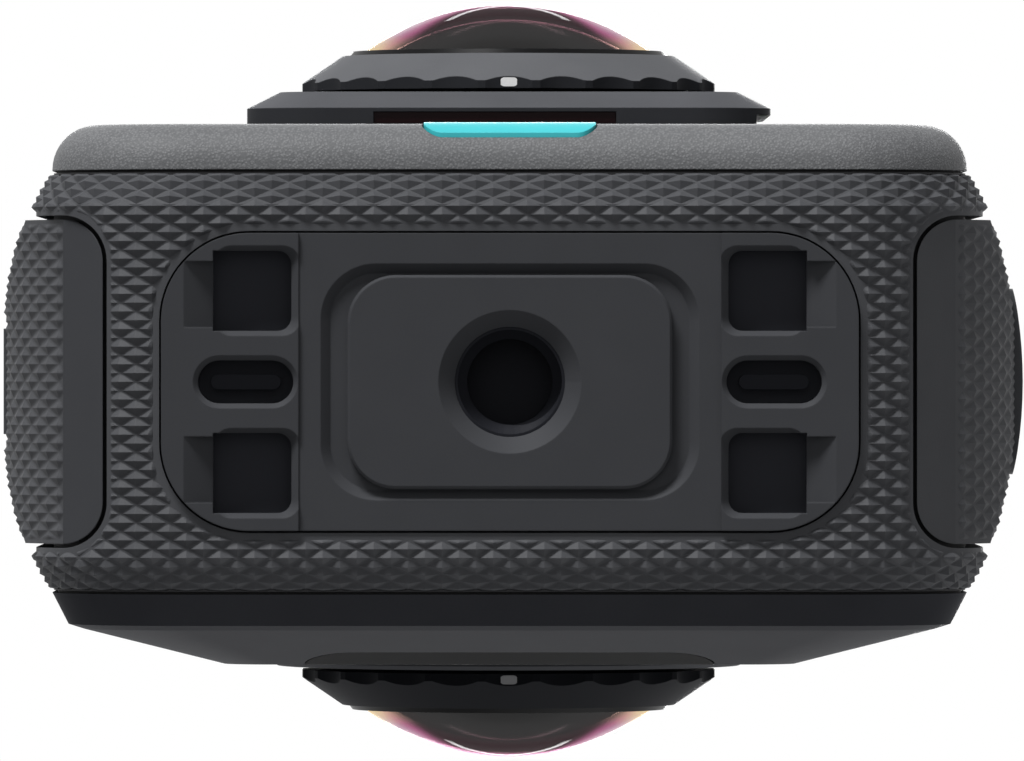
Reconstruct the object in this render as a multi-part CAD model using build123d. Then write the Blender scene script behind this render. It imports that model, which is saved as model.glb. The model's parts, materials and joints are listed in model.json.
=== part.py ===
from build123d import *
import os
from math import cos, radians, sin, sqrt

os.makedirs("parts", exist_ok=True)

# A twin-lens 360 degree camera, upright on its base panel, in millimetres.
# X runs across the camera, -Y is its front, and Z is up from the base pad.

# Driving sizes of the whole camera
camera_width = 64.0            # crown of the side door to crown of the power button
camera_depth = 48.7            # front dome to rear dome
camera_height = 69.7           # base pad to shutter button
band_depth = 25.8
side_proud = 2.65              # the door's crown beyond the grip band
shutter_proud = 0.95           # the shutter button above the grip band
lens_axis_drop = 23.75         # from the top of the grip band down to the lens axis
body_corner_radius = 9.25
stand_off = 0.4                # the base pad stands this far below the grip band

# Clearances
overrun = 1.0                  # how far a cutter passes the face that it cuts
seat_gap = 0.1                 # between pieces that lie against each other
part_gap = 0.25                # round the door, the pads and other drop-in pieces
running_gap = 0.06             # between a pin and what turns on it
wire_gap = 0.02                # between a pin and what holds it

# Grip band and mid frame
grip_thickness = 1.05
edge_bevel_inset = 1.1
edge_bevel_depth = 2.0
frame_wall = 1.7

# Front and rear covers
gasket_thickness = 0.15
gasket_inset = 1.35
gasket_width = 1.2
cover_inset = 1.0
cover_wall = 1.5
front_face_depth = 15.88       # from the middle of the camera to the front face
front_round = 2.75
rear_wall_depth = 15.0
rear_wall_draft = 1.0
rear_edge_depth = 15.3
rear_edge_inset = 0.95
rear_plateau_depth = 17.6
rear_slope_run = 8.6
rear_plateau_radius = 3.0
rear_cavity_depth = 15.2

# Lens stack: shares of the lens's rise over the front face, drops from a named edge, radii
mount_wall_share = 0.1735
mount_top_share = 0.2975
window_share = 0.0992
ring_back_share = 0.327
ring_front_share = 0.5986
dome_rise_share = 0.373
ring_band_height = 0.5
ring_radius = 13.4
ring_front_radius = 10.75
sleeve_radius = 11.4
sleeve_bore_radius = 10.35
sleeve_drop = 2.8              # from the mount's top to the sleeve's end
lug_height = 1.0
lug_reach = 0.9
lug_angle = 30.0
slot_angle = 40.0
unlock_angle = 45.0
lug_count = 3
scallop_count = 24
scallop_radius = 3.4
scallop_depth = 0.43
mark_length = 1.15
mark_width = 0.57
mark_drop = 0.38               # from the ring's band top down to the mark's middle
mark_sunk = 0.2
mark_proud = 0.04
bezel_radius = 10.1
bezel_bore_radius = 9.4
bezel_proud = 0.3
bezel_drop = 1.35
bezel_lip = 0.6
dome_edge_radius = 9.35
dome_edge_drop = 0.65
dome_wall = 0.8
dome_rim_share = 0.667          # of the wall, how thick the rim of a domed glass is
seal_thickness = 0.65
barrel_radius = 9.15
barrel_back_radius = 7.6
barrel_front_drop = 1.65
barrel_plate_drop = 2.3
barrel_step_drop = 2.3
barrel_back_depth = 3.4
barrel_wall = 1.1
barrel_plate_thickness = 1.25
element_edge_radius = 8.5
element_gap = 0.2              # between the dome and the glass under it
element_wall = 1.6
inner_element_thickness = 1.6
inner_element_depths = (5.2, 8.0)
sensor_board_width = 12.0
sensor_board_thickness = 1.0
sensor_width = 8.5
sensor_thickness = 0.9

# Lens mounts
mount_groove_radius = 12.5
mount_groove_drop = 1.65       # the lugs turn this far below the mount's top
front_mount_half = 16.7
front_mount_radius = 5.0
front_mount_chamfer = 2.1
front_plug_half = 14.7
front_plug_radius = 4.0
mount_back_drop = 5.2
mount_notch_depth = 0.95
mount_notch_lip = 0.4
rear_mount_radius = 15.2
rear_mount_chamfer = 0.25
window_left = 8.6
window_right = 6.8
window_height = 0.75
window_recess = 0.55
window_thickness = 0.35

# Black glass and display in the rear cover
glass_width = 25.4
glass_bottom = 8.9
glass_top_drop = 16.1          # from the lens axis down to the glass
glass_radius = 3.2
glass_back_depth = 15.9
glass_ledge = 1.4
display_thickness = 1.5
display_margin = 0.3

# Accent strip
strip_width = 10.6
strip_bottom = 2.25
strip_top = 4.7
strip_radius = 1.2
strip_thickness = 0.5
strip_proud = 0.1

# Base panel, latch interface and tripod socket
panel_inset = 7.85             # from the body's side in to the panel
panel_depth = 18.5
panel_radius = 5.5
panel_gap = 0.12
panel_thickness = 3.0
block_length = 8.55            # of the two end blocks, from the panel's ends inwards
block_step = 0.25
moat_end = 9.9
moat_depth = 14.5
moat_radius = 3.4
moat_sunk = 0.75
moat_slope = 0.6
pad_end = 11.55
pad_depth = 13.1
pad_radius = 2.95
pad_chamfer = 0.15
pocket_inner_end = 8.1
pocket_outer_end = 3.3
pocket_inner_y = 3.13
pocket_outer_y = 8.05
pocket_radius = 0.85
pocket_sunk = 2.3
pocket_mouth = 0.6
ramp_outer_end = 1.5
ramp_inner_y = 3.35
ramp_outer_y = 7.4
ramp_sunk = 1.0
slot_centre_end = 5.3
slot_length = 5.85
slot_width = 2.64
slot_sunk = 2.4
slot_mouth = 0.3
latch_plate_length = 4.3
latch_plate_width = 0.92
latch_plate_top = 1.1
magnet_width = 4.4
magnet_thickness = 1.5
thread_radius = 3.2            # a quarter inch tripod screw
thread_top = 6.3
insert_radius = 4.6
insert_top = 6.9
insert_bottom = 0.95
socket_mouth_radius = 4.39
socket_neck_radius = 3.38
boss_radius = 5.4
boss_gap = 0.2

# Battery bay and battery
bay_bottom = 8.4
bay_top_drop = 11.2            # from the port board down to the bay
bay_half_depth = 8.6
bay_end_inset = 13.85
bay_wall = 1.0
frame_floor_bottom = 2.0
battery_gap = 0.2
battery_door_gap = 1.35
battery_corner = 2.0
contact_width = 8.0
contact_height = 8.0
contact_thickness = 0.8

# Side door, side pad and what they carry
side_half_depth = 10.0
side_toe_inset = 4.35
side_toe_z = 1.8
side_heel_inset = 1.9
side_heel_z = 4.3
side_belly_proud = 1.85
side_belly_z = 12.0
side_shoulder_drop = 8.4       # from the hinge down to the shoulder
side_crown_radius = 28.7
side_corner_radius = 2.6
side_opening_rise = 1.7
side_swell = 0.45              # how far the heel's curve bulges beyond its chord
skin_thickness = 0.8
skin_bottom = 4.4
skin_drop = 2.2
hinge_proud = 0.25
hinge_drop = 18.35             # from the top of the grip band down to the hinge
hinge_pin_radius = 0.7
hinge_pin_half = 9.3
knuckle_radius = 1.35
lug_half = 5.0
lug_gap = 0.2
neck_half_height = 0.8
door_slot_drop = 1.9
door_seal_half_depth = 9.7
door_seal_width = 0.8
door_seal_bottom = 6.0
door_seal_drop = 2.4
door_seal_depth = 0.5             # how far it stands in from the door
door_seal_groove = 0.8
seal_side_gap = 0.12
pad_drop = 0.45                # the side pad's crown lies this far below the door's

latch_half_depth = 3.5
latch_bottom = 15.5
latch_top = 24.0
latch_travel = 2.0
latch_face_proud = 1.95
latch_back_proud = 0.75
latch_rail_half_depth = 2.0
latch_rail_proud = 0.05
latch_rail_inset = 1.2
latch_rib_count = 4
latch_rib_radius = 0.35

power_half_depth = 5.8
power_bottom = 14.0
power_top = 30.0
power_radius = 1.6
power_inner_inset = 0.35
power_flange = 0.9
power_flange_thickness = 0.45
power_travel = 0.5
switch_radius = 1.2
switch_width = 3.4
switch_thickness = 1.5
switch_clearance = 0.05

# Shutter button
shutter_width = 14.0
shutter_depth = 8.0
shutter_radius = 3.0
shutter_chamfer = 0.35
shutter_flange = 0.7
shutter_flange_thickness = 0.6
shutter_travel = 0.6

# Ports and card
port_board_drop = 9.2          # from the hinge down to the port board
port_board_thickness = 0.9
port_board_half_depth = 7.8
port_board_inset = 16.85
usb_width = 8.94
usb_height = 3.2
usb_length = 7.3
usb_wall = 0.35
usb_tongue_width = 6.7
usb_tongue_thickness = 0.7
card_width = 11.0
card_length = 15.0
card_thickness = 0.9
card_inset = 1.45
card_travel = 0.8
card_gap = 0.15
card_socket_wall = 0.4
card_notch = 0.7
card_notch_share = 0.6
port_window_gap = 0.25
rib_half_depth = 8.0
rib_thickness = 1.0
rib_half_height = 3.5

# Boards and small inner pieces
lens_wall_half = 1.2
lens_wall_left_inset = 18.35
lens_wall_right_inset = 16.35
lens_wall_notch_half = 8.4
lens_wall_notch_drop = 6.25
main_board_inset = 12.55
main_board_thickness = 1.0
main_board_half_depth = 10.4
main_board_bottom = 5.0
main_board_drop = 8.75
chip_size = 7.5
chip_thickness = 0.9
chip_shares = (0.16, 0.38, 0.64, 0.84)
spreader_gap = 0.25
spreader_thickness = 1.2
spreader_bottom = 9.0
spreader_drop = 11.75
spreader_fin_depth = 1.6
spreader_fin_thickness = 0.9
spreader_fin_count = 6
speaker_width = 10.0
speaker_height = 8.0
speaker_thickness = 3.0
microphone_radius = 1.6
microphone_height = 1.2
microphone_inset = 13.85
antenna_left_inset = 9.35
antenna_right_inset = 19.35
antenna_half_depth = 3.0
antenna_thickness = 0.3
tower_radius = 2.4
tower_inset = 6.15
tower_low_z = 5.6
tower_drop = 5.95
screw_radius = 0.8
screw_gap = 0.12
screw_head_radius = 1.5
screw_head_height = 1.0
screw_tip_depth = 13.9
cover_boss_radius = 1.9

# Values worked out from the ones above
body_width = camera_width - 2 * side_proud
body_top = camera_height - shutter_proud
lens_axis_height = body_top - lens_axis_drop
half_width = body_width / 2
half_band = band_depth / 2
body_height = body_top - stand_off
body_centre_z = (body_top + stand_off) / 2
cover_start_depth = half_band + gasket_thickness
frame_inset = grip_thickness
frame_side_x = half_width - frame_inset
frame_inner_x = frame_side_x - frame_wall
frame_inner_top = body_top - frame_inset - frame_wall
door_inner_x = frame_side_x + gasket_thickness
door_apex_x = camera_width / 2

# Worked-out places in the base panel
panel_width = body_width - 2 * panel_inset
panel_half = panel_width / 2
block_inner_x = panel_half - block_length
moat_width = panel_width - 2 * moat_end
pad_width = panel_width - 2 * pad_end
pocket_inner_x = panel_half - pocket_inner_end
pocket_outer_x = panel_half - pocket_outer_end
ramp_outer_x = panel_half - ramp_outer_end
slot_centre_x = panel_half - slot_centre_end

# Worked-out depths of the lens stack, from the middle of the camera outwards
dome_apex_depth = camera_depth / 2
lens_rise = dome_apex_depth - front_face_depth
front_mount_wall_depth = front_face_depth + lens_rise * mount_wall_share
mount_top_depth = front_face_depth + lens_rise * mount_top_share
window_depth = front_face_depth + lens_rise * window_share
mount_groove_depth = mount_top_depth - mount_groove_drop
mount_back_depth = mount_top_depth - mount_back_drop
sleeve_end_depth = mount_top_depth - sleeve_drop
ring_back_depth = front_face_depth + lens_rise * ring_back_share
ring_shoulder_depth = ring_back_depth + ring_band_height
ring_front_depth = front_face_depth + lens_rise * ring_front_share
bezel_front_depth = ring_front_depth + bezel_proud
bezel_back_depth = ring_front_depth - bezel_drop
dome_edge_back_depth = ring_front_depth - dome_edge_drop
dome_rise = lens_rise * dome_rise_share
dome_radius = (dome_edge_radius ** 2 + dome_rise ** 2) / (2 * dome_rise)
barrel_front_depth = ring_front_depth - barrel_front_drop
barrel_plate_depth = sleeve_end_depth - barrel_plate_drop
barrel_step_depth = barrel_plate_depth - barrel_step_drop
element_apex_depth = dome_apex_depth - dome_wall - element_gap
element_radius = dome_radius - dome_wall - element_gap

# Worked-out places of the side pieces, the ports and the bay
side_toe_x = half_width - side_toe_inset
side_heel_x = half_width - side_heel_inset
side_belly_x = half_width + side_belly_proud
hinge_x = half_width + hinge_proud
hinge_z = body_top - hinge_drop
side_shoulder_z = hinge_z - side_shoulder_drop
side_crown_z = (side_belly_z + side_shoulder_z) / 2
side_opening_top = hinge_z + side_opening_rise
skin_top = hinge_z - skin_drop
door_slot_bottom = hinge_z - door_slot_drop
door_seal_top = hinge_z - door_seal_drop
latch_face_x = half_width + latch_face_proud
latch_back_x = half_width + latch_back_proud
latch_rail_x = half_width + latch_rail_proud
power_inner_x = half_width - power_inner_inset
port_board_top = hinge_z - port_board_drop
port_board_inner_x = half_width - port_board_inset
card_outer_x = half_width - card_inset
bay_top = port_board_top - bay_top_drop
bay_end_x = half_width - bay_end_inset

# Worked-out places of the boards and small inner pieces
glass_top = lens_axis_height - glass_top_drop
lens_wall_left = half_width - lens_wall_left_inset
lens_wall_right = half_width - lens_wall_right_inset
lens_wall_notch_z = body_top - lens_wall_notch_drop
main_board_x = half_width - main_board_inset
main_board_top = body_top - main_board_drop
spreader_top = body_top - spreader_drop
microphone_x = half_width - microphone_inset
antenna_left = half_width - antenna_left_inset
antenna_right = half_width - antenna_right_inset
tower_x = half_width - tower_inset
tower_high_z = body_top - tower_drop


# Shared shapes

def body_outline(inset):
    """Front view of the body, drawn in by an inset."""
    width = body_width - 2 * inset
    height = body_height - 2 * inset
    return Plane.XZ * RectangleRounded(width, height, body_corner_radius - inset)


def slab(inset, y_low, y_high):
    """The body's outline as a plate between two depths."""
    return Pos(0, y_high, body_centre_z) * extrude(body_outline(inset), amount=y_high - y_low)


def sloped_slab(inset_low, y_low, inset_high, y_high, end_radius=None):
    """A plate whose outline is drawn in from one depth to the other."""
    low = Pos(0, y_low, body_centre_z) * body_outline(inset_low)
    width = body_width - 2 * inset_high
    height = body_height - 2 * inset_high
    radius = body_corner_radius - inset_high if end_radius is None else end_radius
    high = Pos(0, y_high, body_centre_z) * (Plane.XZ * RectangleRounded(width, height, radius))
    return loft([low, high], ruled=True)


def block(x_low, x_high, y_low, y_high, z_low, z_high):
    """A box between its two corners."""
    centre = Pos((x_low + x_high) / 2, (y_low + y_high) / 2, (z_low + z_high) / 2)
    return centre * Box(x_high - x_low, y_high - y_low, z_high - z_low)


def upright(width, depth, radius, z_low, z_high, centre_x=0.0):
    """A rounded plan outline, raised between two heights."""
    plan = Pos(centre_x, 0, z_low) * RectangleRounded(width, depth, radius)
    return extrude(plan, amount=z_high - z_low)


def front_prism(width, z_low, z_high, radius, y_low, y_high):
    """A rounded front-view outline, run through between two depths."""
    outline = Plane.XZ * RectangleRounded(width, z_high - z_low, radius)
    return Pos(0, y_high, (z_low + z_high) / 2) * extrude(outline, amount=y_high - y_low)


def tube(outer, inner, low, high):
    """A ring about the lens axis, between two depths along it."""
    ring = Circle(outer) - Circle(inner)
    return Pos(0, 0, low) * extrude(ring, amount=high - low)


def disc(radius, low, high):
    """A disc about the lens axis, between two depths along it."""
    return Pos(0, 0, low) * extrude(Circle(radius), amount=high - low)


def face_front(shape):
    """Turn a piece built along its lens axis to look out of the camera's front."""
    return Pos(0, 0, lens_axis_height) * Rot(90, 0, 0) * shape


def face_rear(shape):
    """Turn a piece built along its lens axis to look out of the camera's rear."""
    return Pos(0, 0, lens_axis_height) * Rot(-90, 0, 0) * Rot(0, 0, 180) * shape


def four_towers(radius, y_low, y_high):
    """Four round posts, one in each corner of the body."""
    places = [(x, z) for x in (-tower_x, tower_x) for z in (tower_low_z, tower_high_z)]
    post = Rot(90, 0, 0) * Pos(0, 0, -y_high) * extrude(Circle(radius), amount=y_high - y_low)
    return [Pos(x, 0, z) * post for x, z in places]


def join(pieces):
    """Fuse a list of solids into one shape."""
    shape = pieces[0]
    for piece in pieces[1:]:
        shape = shape + piece
    return shape


# Side door and side pad: one form, built on the door's side (-X)

def side_profile():
    """Side view outline of the door, from its toe round the crown to the hinge knuckle."""
    arc_x = half_width - body_corner_radius
    arc_z = stand_off + body_corner_radius
    inner_radius = door_inner_x - arc_x
    toe_inner_z = arc_z - sqrt(inner_radius ** 2 - (side_toe_x - arc_x) ** 2)
    mid_angle = radians(45.0)
    mid_x = -(arc_x + inner_radius * sin(mid_angle))
    mid_z = arc_z - inner_radius * cos(mid_angle)
    toe = (-side_toe_x, side_toe_z)
    heel = (-side_heel_x, side_heel_z)
    belly = (-side_belly_x, side_belly_z)
    crown = (-door_apex_x, side_crown_z)
    shoulder = (-side_belly_x, side_shoulder_z)
    knuckle_out = (-hinge_x - knuckle_radius, hinge_z)
    knuckle_top = (-hinge_x, hinge_z + knuckle_radius)
    knuckle_in = (-door_inner_x, hinge_z)
    inner_low = (-door_inner_x, arc_z)
    toe_inner = (-side_toe_x, toe_inner_z)
    swell_x = (side_heel_x + side_belly_x) / 2 + side_swell
    swell = (-swell_x, (side_heel_z + side_belly_z) / 2)
    edges = [
        Line(toe, heel),
        ThreePointArc(heel, swell, belly),
        ThreePointArc(belly, crown, shoulder),
        Line(shoulder, knuckle_out),
        ThreePointArc(knuckle_out, knuckle_arc_point(), knuckle_top),
        Line(knuckle_top, knuckle_in),
        Line(knuckle_in, inner_low),
        ThreePointArc(inner_low, (mid_x, mid_z), toe_inner),
        Line(toe_inner, toe),
    ]
    return make_face([Plane.XZ * edge for edge in edges])


def knuckle_arc_point():
    """A point on the outer upper quarter of the hinge knuckle."""
    reach = knuckle_radius * sin(radians(45.0))
    return (-hinge_x - reach, hinge_z + reach)


def side_form(crown_drop):
    """The door's solid form; its crown can lie lower, as the side pad's does."""
    body = Pos(0, side_half_depth, 0) * extrude(side_profile(), amount=2 * side_half_depth,
                                                dir=(0, -1, 0))
    crown_centre = -(door_apex_x - crown_drop - side_crown_radius)
    crown = Pos(crown_centre, 0, -overrun) * extrude(Circle(side_crown_radius), amount=body_top)
    plan_length = side_crown_radius
    plan = upright(plan_length, 2 * side_half_depth, side_corner_radius, -overrun, body_top,
                   -side_toe_x - plan_length / 2)
    return body & crown & plan


def side_opening(sign):
    """Cutter for the opening in the grip band that the door or pad drops into."""
    width = 2 * side_crown_radius
    centre_x = sign * (side_toe_x - part_gap + width / 2)
    depth = 2 * (side_half_depth + part_gap)
    radius = side_corner_radius + part_gap
    return upright(width, depth, radius, -overrun, side_opening_top, centre_x)


def mirrored_x(shape):
    """The same piece on the camera's other side."""
    return mirror(shape, about=Plane.YZ)


# Shell pieces

def bevelled_body(inset):
    """The grip band's form: a slab with a bevel round its front and rear edges."""
    core = half_band - edge_bevel_depth
    middle = slab(inset, -core, core)
    front = sloped_slab(inset, -core, inset + edge_bevel_inset, -half_band)
    rear = sloped_slab(inset, core, inset + edge_bevel_inset, half_band)
    return middle + front + rear


def panel_cutter(z_high):
    """Cutter for the base panel's outline, up to a height."""
    return upright(panel_width, panel_depth, panel_radius, -overrun, z_high)


def shutter_cutter(z_low, gap):
    """Cutter for the shutter button's hole, from a height upwards."""
    return upright(shutter_width + 2 * gap, shutter_depth + 2 * gap, shutter_radius + gap,
                   z_low, body_top + overrun)


def make_grip_band():
    band = bevelled_body(0) - slab(grip_thickness - seat_gap / 2, -camera_depth, camera_depth)
    band = band - panel_cutter(frame_floor_bottom + overrun)
    band = band - side_opening(-1) - side_opening(1)
    return band - shutter_cutter(lens_axis_height, part_gap)


def make_mid_frame():
    ring = slab(frame_inset + seat_gap / 2, -half_band, half_band)
    ring = ring - slab(frame_inset + frame_wall, -camera_depth, camera_depth)
    bay_outer = bay_half_depth + bay_wall
    bay_low_x = -frame_side_x + frame_wall / 2
    bay_high_x = bay_end_x + bay_wall
    bay = block(bay_low_x, bay_high_x, -bay_outer, bay_outer,
                frame_floor_bottom, bay_top + bay_wall)
    floor = block(0, tower_x, -bay_outer, bay_outer, frame_floor_bottom,
                  panel_thickness + 2 * bay_wall)
    lens_wall = block(-lens_wall_left, lens_wall_right, -lens_wall_half, lens_wall_half,
                      bay_top, frame_inner_top + frame_wall / 2)
    towers = join(four_towers(tower_radius, -half_band, half_band))
    inside = (bay + floor + lens_wall + towers + port_ribs()) & slab(
        frame_inset + frame_wall / 2, -half_band, half_band)
    return ring + inside + hinge_lug() - frame_cuts()


def port_ribs():
    """Two ribs that carry the port board's edges."""
    low = port_board_top - rib_half_height
    high = port_board_top + rib_half_height
    rib = block(-frame_inner_x - frame_wall / 2, -port_board_inner_x,
                rib_half_depth, rib_half_depth + rib_thickness, low, high)
    return rib + mirror(rib, about=Plane.XZ)


def hinge_lug():
    """The frame's share of the door hinge, with its neck to the wall."""
    barrel = Pos(-hinge_x, lug_half, hinge_z) * Rot(90, 0, 0) * extrude(
        Circle(knuckle_radius - running_gap), amount=2 * lug_half)
    neck = block(-hinge_x, -frame_side_x + frame_wall / 2, -lug_half, lug_half,
                 hinge_z - neck_half_height, hinge_z + neck_half_height)
    return barrel + neck


def knuckle_grooves():
    """Room in the frame's wall for the door's two knuckles."""
    groove = Pos(-hinge_x, camera_depth, hinge_z) * Rot(90, 0, 0) * extrude(
        Circle(knuckle_radius + part_gap), amount=camera_depth - lug_half)
    return groove + mirror(groove, about=Plane.XZ)


def frame_cuts():
    """Everything that is cut out of the mid frame."""
    cuts = [
        panel_cutter(panel_thickness + seat_gap),
        battery_room(),
        boss_room(),
        magnet_room(),
        seal_groove(),
        port_windows(),
        knuckle_grooves(),
        shutter_cutter(lens_axis_height, part_gap),
        wall_notch(),
        switch_hole(),
        pin_hole(wire_gap, 2 * lug_half + overrun),
    ]
    cuts.extend(four_towers(screw_radius + screw_gap, -camera_depth, camera_depth))
    return cuts


def battery_room():
    return block(-half_width, bay_end_x, -bay_half_depth, bay_half_depth, bay_bottom, bay_top)


def boss_room():
    top = insert_top + boss_gap + seat_gap
    return Pos(0, 0, -overrun) * extrude(Circle(boss_radius + boss_gap), amount=top + overrun)


def magnet_places():
    x = (pocket_inner_x + pocket_outer_x) / 2
    y = (pocket_inner_y + pocket_outer_y) / 2
    return [(x * side, y * end) for side in (-1, 1) for end in (-1, 1)]


def magnet_room():
    """Four pockets over the latch magnets."""
    half = magnet_width / 2 + part_gap
    top = panel_thickness + seat_gap + magnet_thickness + part_gap
    rooms = [block(x - half, x + half, y - half, y + half, 0, top) for x, y in magnet_places()]
    return join(rooms)


def seal_ring(gap):
    """The door seal's outline seen from the side, run through the side wall."""
    half = door_seal_half_depth + gap
    low = door_seal_bottom - gap
    high = door_seal_top + gap
    width = door_seal_width + 2 * gap
    outer = block(-camera_width, -side_toe_x, -half, half, low, high)
    return outer - block(-camera_width, 0, -half + width, half - width, low + width, high - width)


def seal_groove():
    """The groove in the frame's side that takes the door seal."""
    return seal_ring(seal_side_gap) & Pos(door_seal_groove, 0, 0) * side_form(0)


def port_windows():
    """Windows in the frame's side for the USB socket and the card."""
    usb_z = port_board_top + usb_height / 2
    usb = block(-camera_width, -frame_inner_x + overrun,
                -usb_width / 2 - port_window_gap, usb_width / 2 + port_window_gap,
                usb_z - usb_height / 2 - port_window_gap, usb_z + usb_height / 2 + port_window_gap)
    card_half = card_width / 2 + port_window_gap
    card = block(-camera_width, -frame_inner_x + overrun, -card_half, card_half,
                 card_centre_z() - card_thickness, card_centre_z() + card_thickness)
    return usb + card


def wall_notch():
    """A notch in the lens wall under the shutter button."""
    return block(-lens_wall_notch_half, lens_wall_notch_half, -half_band, half_band,
                 lens_wall_notch_z, frame_inner_top)


def switch_hole():
    """The hole in the frame's side for the power switch's plunger."""
    centre_z = (power_bottom + power_top) / 2
    return Pos(0, 0, centre_z) * Rot(0, 90, 0) * extrude(
        Circle(switch_radius + part_gap), amount=camera_width)


def pin_hole(gap, length):
    return Pos(-hinge_x, length / 2, hinge_z) * Rot(90, 0, 0) * extrude(
        Circle(hinge_pin_radius + gap), amount=length)


# Front cover, accent strip and gaskets

def front_form():
    """The front cover's outer form: a plate whose front edge is rounded."""
    plate = slab(cover_inset, -front_face_depth, -cover_start_depth)
    front_edges = plate.faces().sort_by(Axis.Y)[0].edges()
    return fillet(front_edges, radius=front_round)


def strip_prism(gap):
    return front_prism(strip_width + 2 * gap, strip_bottom - gap, strip_top + gap,
                       strip_radius + gap, -front_face_depth - overrun, -cover_start_depth - overrun)


def make_front_cover():
    form = front_form()
    cavity = slab(cover_inset + cover_wall, -front_face_depth + cover_wall, 0)
    bosses = four_towers(cover_boss_radius, -front_face_depth + cover_wall / 2, -cover_start_depth)
    pilots = four_towers(screw_radius + wire_gap, -screw_tip_depth - seat_gap, 0)
    half = front_plug_half + seat_gap
    mouth = front_prism(2 * half, lens_axis_height - half, lens_axis_height + half,
                        front_plug_radius + seat_gap, -camera_depth, 0)
    inner_form = Pos(0, strip_thickness, strip_thickness) * form
    cover = form - cavity + join(bosses) - join(pilots) - mouth
    return cover - (strip_prism(seat_gap) - inner_form)


def make_accent_strip():
    form = front_form()
    grown = Pos(0, -strip_proud, -strip_proud) * form
    shrunk = Pos(0, strip_thickness - seat_gap / 2, strip_thickness - seat_gap / 2) * form
    return (grown & strip_prism(0)) - shrunk


def make_gasket(sign):
    """The dark seal in a parting line, in front of the mid frame or behind it."""
    low, high = sorted((sign * half_band, sign * cover_start_depth))
    ring = slab(gasket_inset, low, high)
    return ring - slab(gasket_inset + gasket_width, low - overrun, high + overrun)


# Rear cover, glass and display

def rear_form():
    """The rear cover's outer form: a drafted wall, a small edge and a slope to the plateau."""
    wall_end = cover_inset + rear_wall_draft
    edge_end = wall_end + rear_edge_inset
    wall = sloped_slab(cover_inset, cover_start_depth, wall_end, rear_wall_depth)
    edge = sloped_slab(wall_end, rear_wall_depth, edge_end, rear_edge_depth)
    slope = sloped_slab(edge_end, rear_edge_depth, edge_end + rear_slope_run, rear_plateau_depth,
                        rear_plateau_radius)
    return wall + edge + slope


def rear_cavity():
    """Room inside the rear cover."""
    start = cover_inset + cover_wall
    shoulder = rear_wall_depth - cover_wall
    wall = slab(start, 0, shoulder)
    slope = sloped_slab(start, shoulder, start + rear_slope_run, rear_cavity_depth,
                        rear_plateau_radius)
    return wall + slope


def glass_prism(inset, y_low, y_high):
    return front_prism(glass_width - 2 * inset, glass_bottom + inset, glass_top - inset,
                       glass_radius - inset, y_low, y_high)


def make_rear_cover():
    cover = rear_form() - rear_cavity()
    cover = cover - glass_prism(-seat_gap, glass_back_depth, camera_depth)
    cover = cover - glass_prism(glass_ledge, 0, camera_depth)
    head_end = half_band + screw_head_height + 2 * seat_gap
    cover = cover - join(four_towers(screw_head_radius + seat_gap, 0, head_end))
    return cover - face_rear(disc(rear_mount_radius + seat_gap, 0, camera_depth))


def make_screen_glass():
    return rear_form() & glass_prism(0, glass_back_depth + seat_gap / 2, camera_depth)


def make_display_module():
    inset = glass_ledge + display_margin
    return glass_prism(inset, glass_back_depth - display_thickness, glass_back_depth)


# Lens stack, built along its axis, for the front and again for the rear

def around_lens(shape, count, start_angle):
    step = 360.0 / count
    return [Rot(0, 0, start_angle + step * turn) * shape for turn in range(count)]


def sector(radius, angle, low, high):
    """A wedge of a disc, centred on the X axis."""
    reach = 2 * radius
    half = radians(angle / 2)
    corner = (reach * cos(half), reach * sin(half))
    wedge = make_face(Polyline((0, 0), corner, (corner[0], -corner[1]), close=True))
    return Pos(0, 0, low) * extrude(wedge & Circle(radius), amount=high - low, dir=(0, 0, 1))


def make_lens_ring():
    """The grip ring: a scalloped band, a cone, and a sleeve with bayonet lugs."""
    profile = [
        (sleeve_bore_radius, sleeve_end_depth),
        (sleeve_radius, sleeve_end_depth),
        (sleeve_radius, ring_back_depth),
        (ring_radius, ring_back_depth),
        (ring_radius, ring_shoulder_depth),
        (ring_front_radius, ring_front_depth),
        (sleeve_bore_radius, ring_front_depth),
    ]
    section = make_face(Plane.XZ * Polyline(*profile, close=True))
    ring = revolve(section, Axis.Z)
    cutter = Pos(ring_radius + scallop_radius - scallop_depth, 0, 0) * disc(
        scallop_radius, sleeve_end_depth, camera_depth)
    ring = ring - around_lens(cutter, scallop_count, 0)
    lug_end = sleeve_end_depth + lug_height
    lug = sector(sleeve_radius + lug_reach, lug_angle, sleeve_end_depth, lug_end)
    lug = lug - disc((sleeve_bore_radius + sleeve_radius) / 2, 0, camera_depth)
    return ring + around_lens(lug, lug_count, 90) - mark_prism(wire_gap, mark_sunk)


def mark_prism(grown, sunk):
    """The index mark's outline at the ring's lowest point, from a depth in it outwards."""
    outline = Plane.XZ * SlotOverall(mark_length + 2 * grown, mark_width + 2 * grown)
    floor_radius = ring_radius - scallop_depth
    low = Pos(0, -floor_radius + sunk, ring_shoulder_depth + mark_width / 2 - mark_drop)
    return low * extrude(outline, amount=sunk + mark_proud)


def make_index_mark():
    """The small inlay that shows how the ring is turned."""
    return mark_prism(0, mark_sunk - wire_gap)


def make_lens_bezel():
    """The thin black rim that holds the dome."""
    profile = [
        (bezel_bore_radius, bezel_front_depth),
        (bezel_bore_radius, dome_edge_back_depth - seat_gap),
        (bezel_bore_radius - bezel_lip, dome_edge_back_depth - seat_gap),
        (bezel_bore_radius - bezel_lip, bezel_back_depth),
        (sleeve_bore_radius - wire_gap, bezel_back_depth),
        (sleeve_bore_radius - wire_gap, ring_front_depth),
        (bezel_radius, bezel_front_depth),
    ]
    return revolve(make_face(Plane.XZ * Polyline(*profile, close=True)), Axis.Z)


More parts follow.
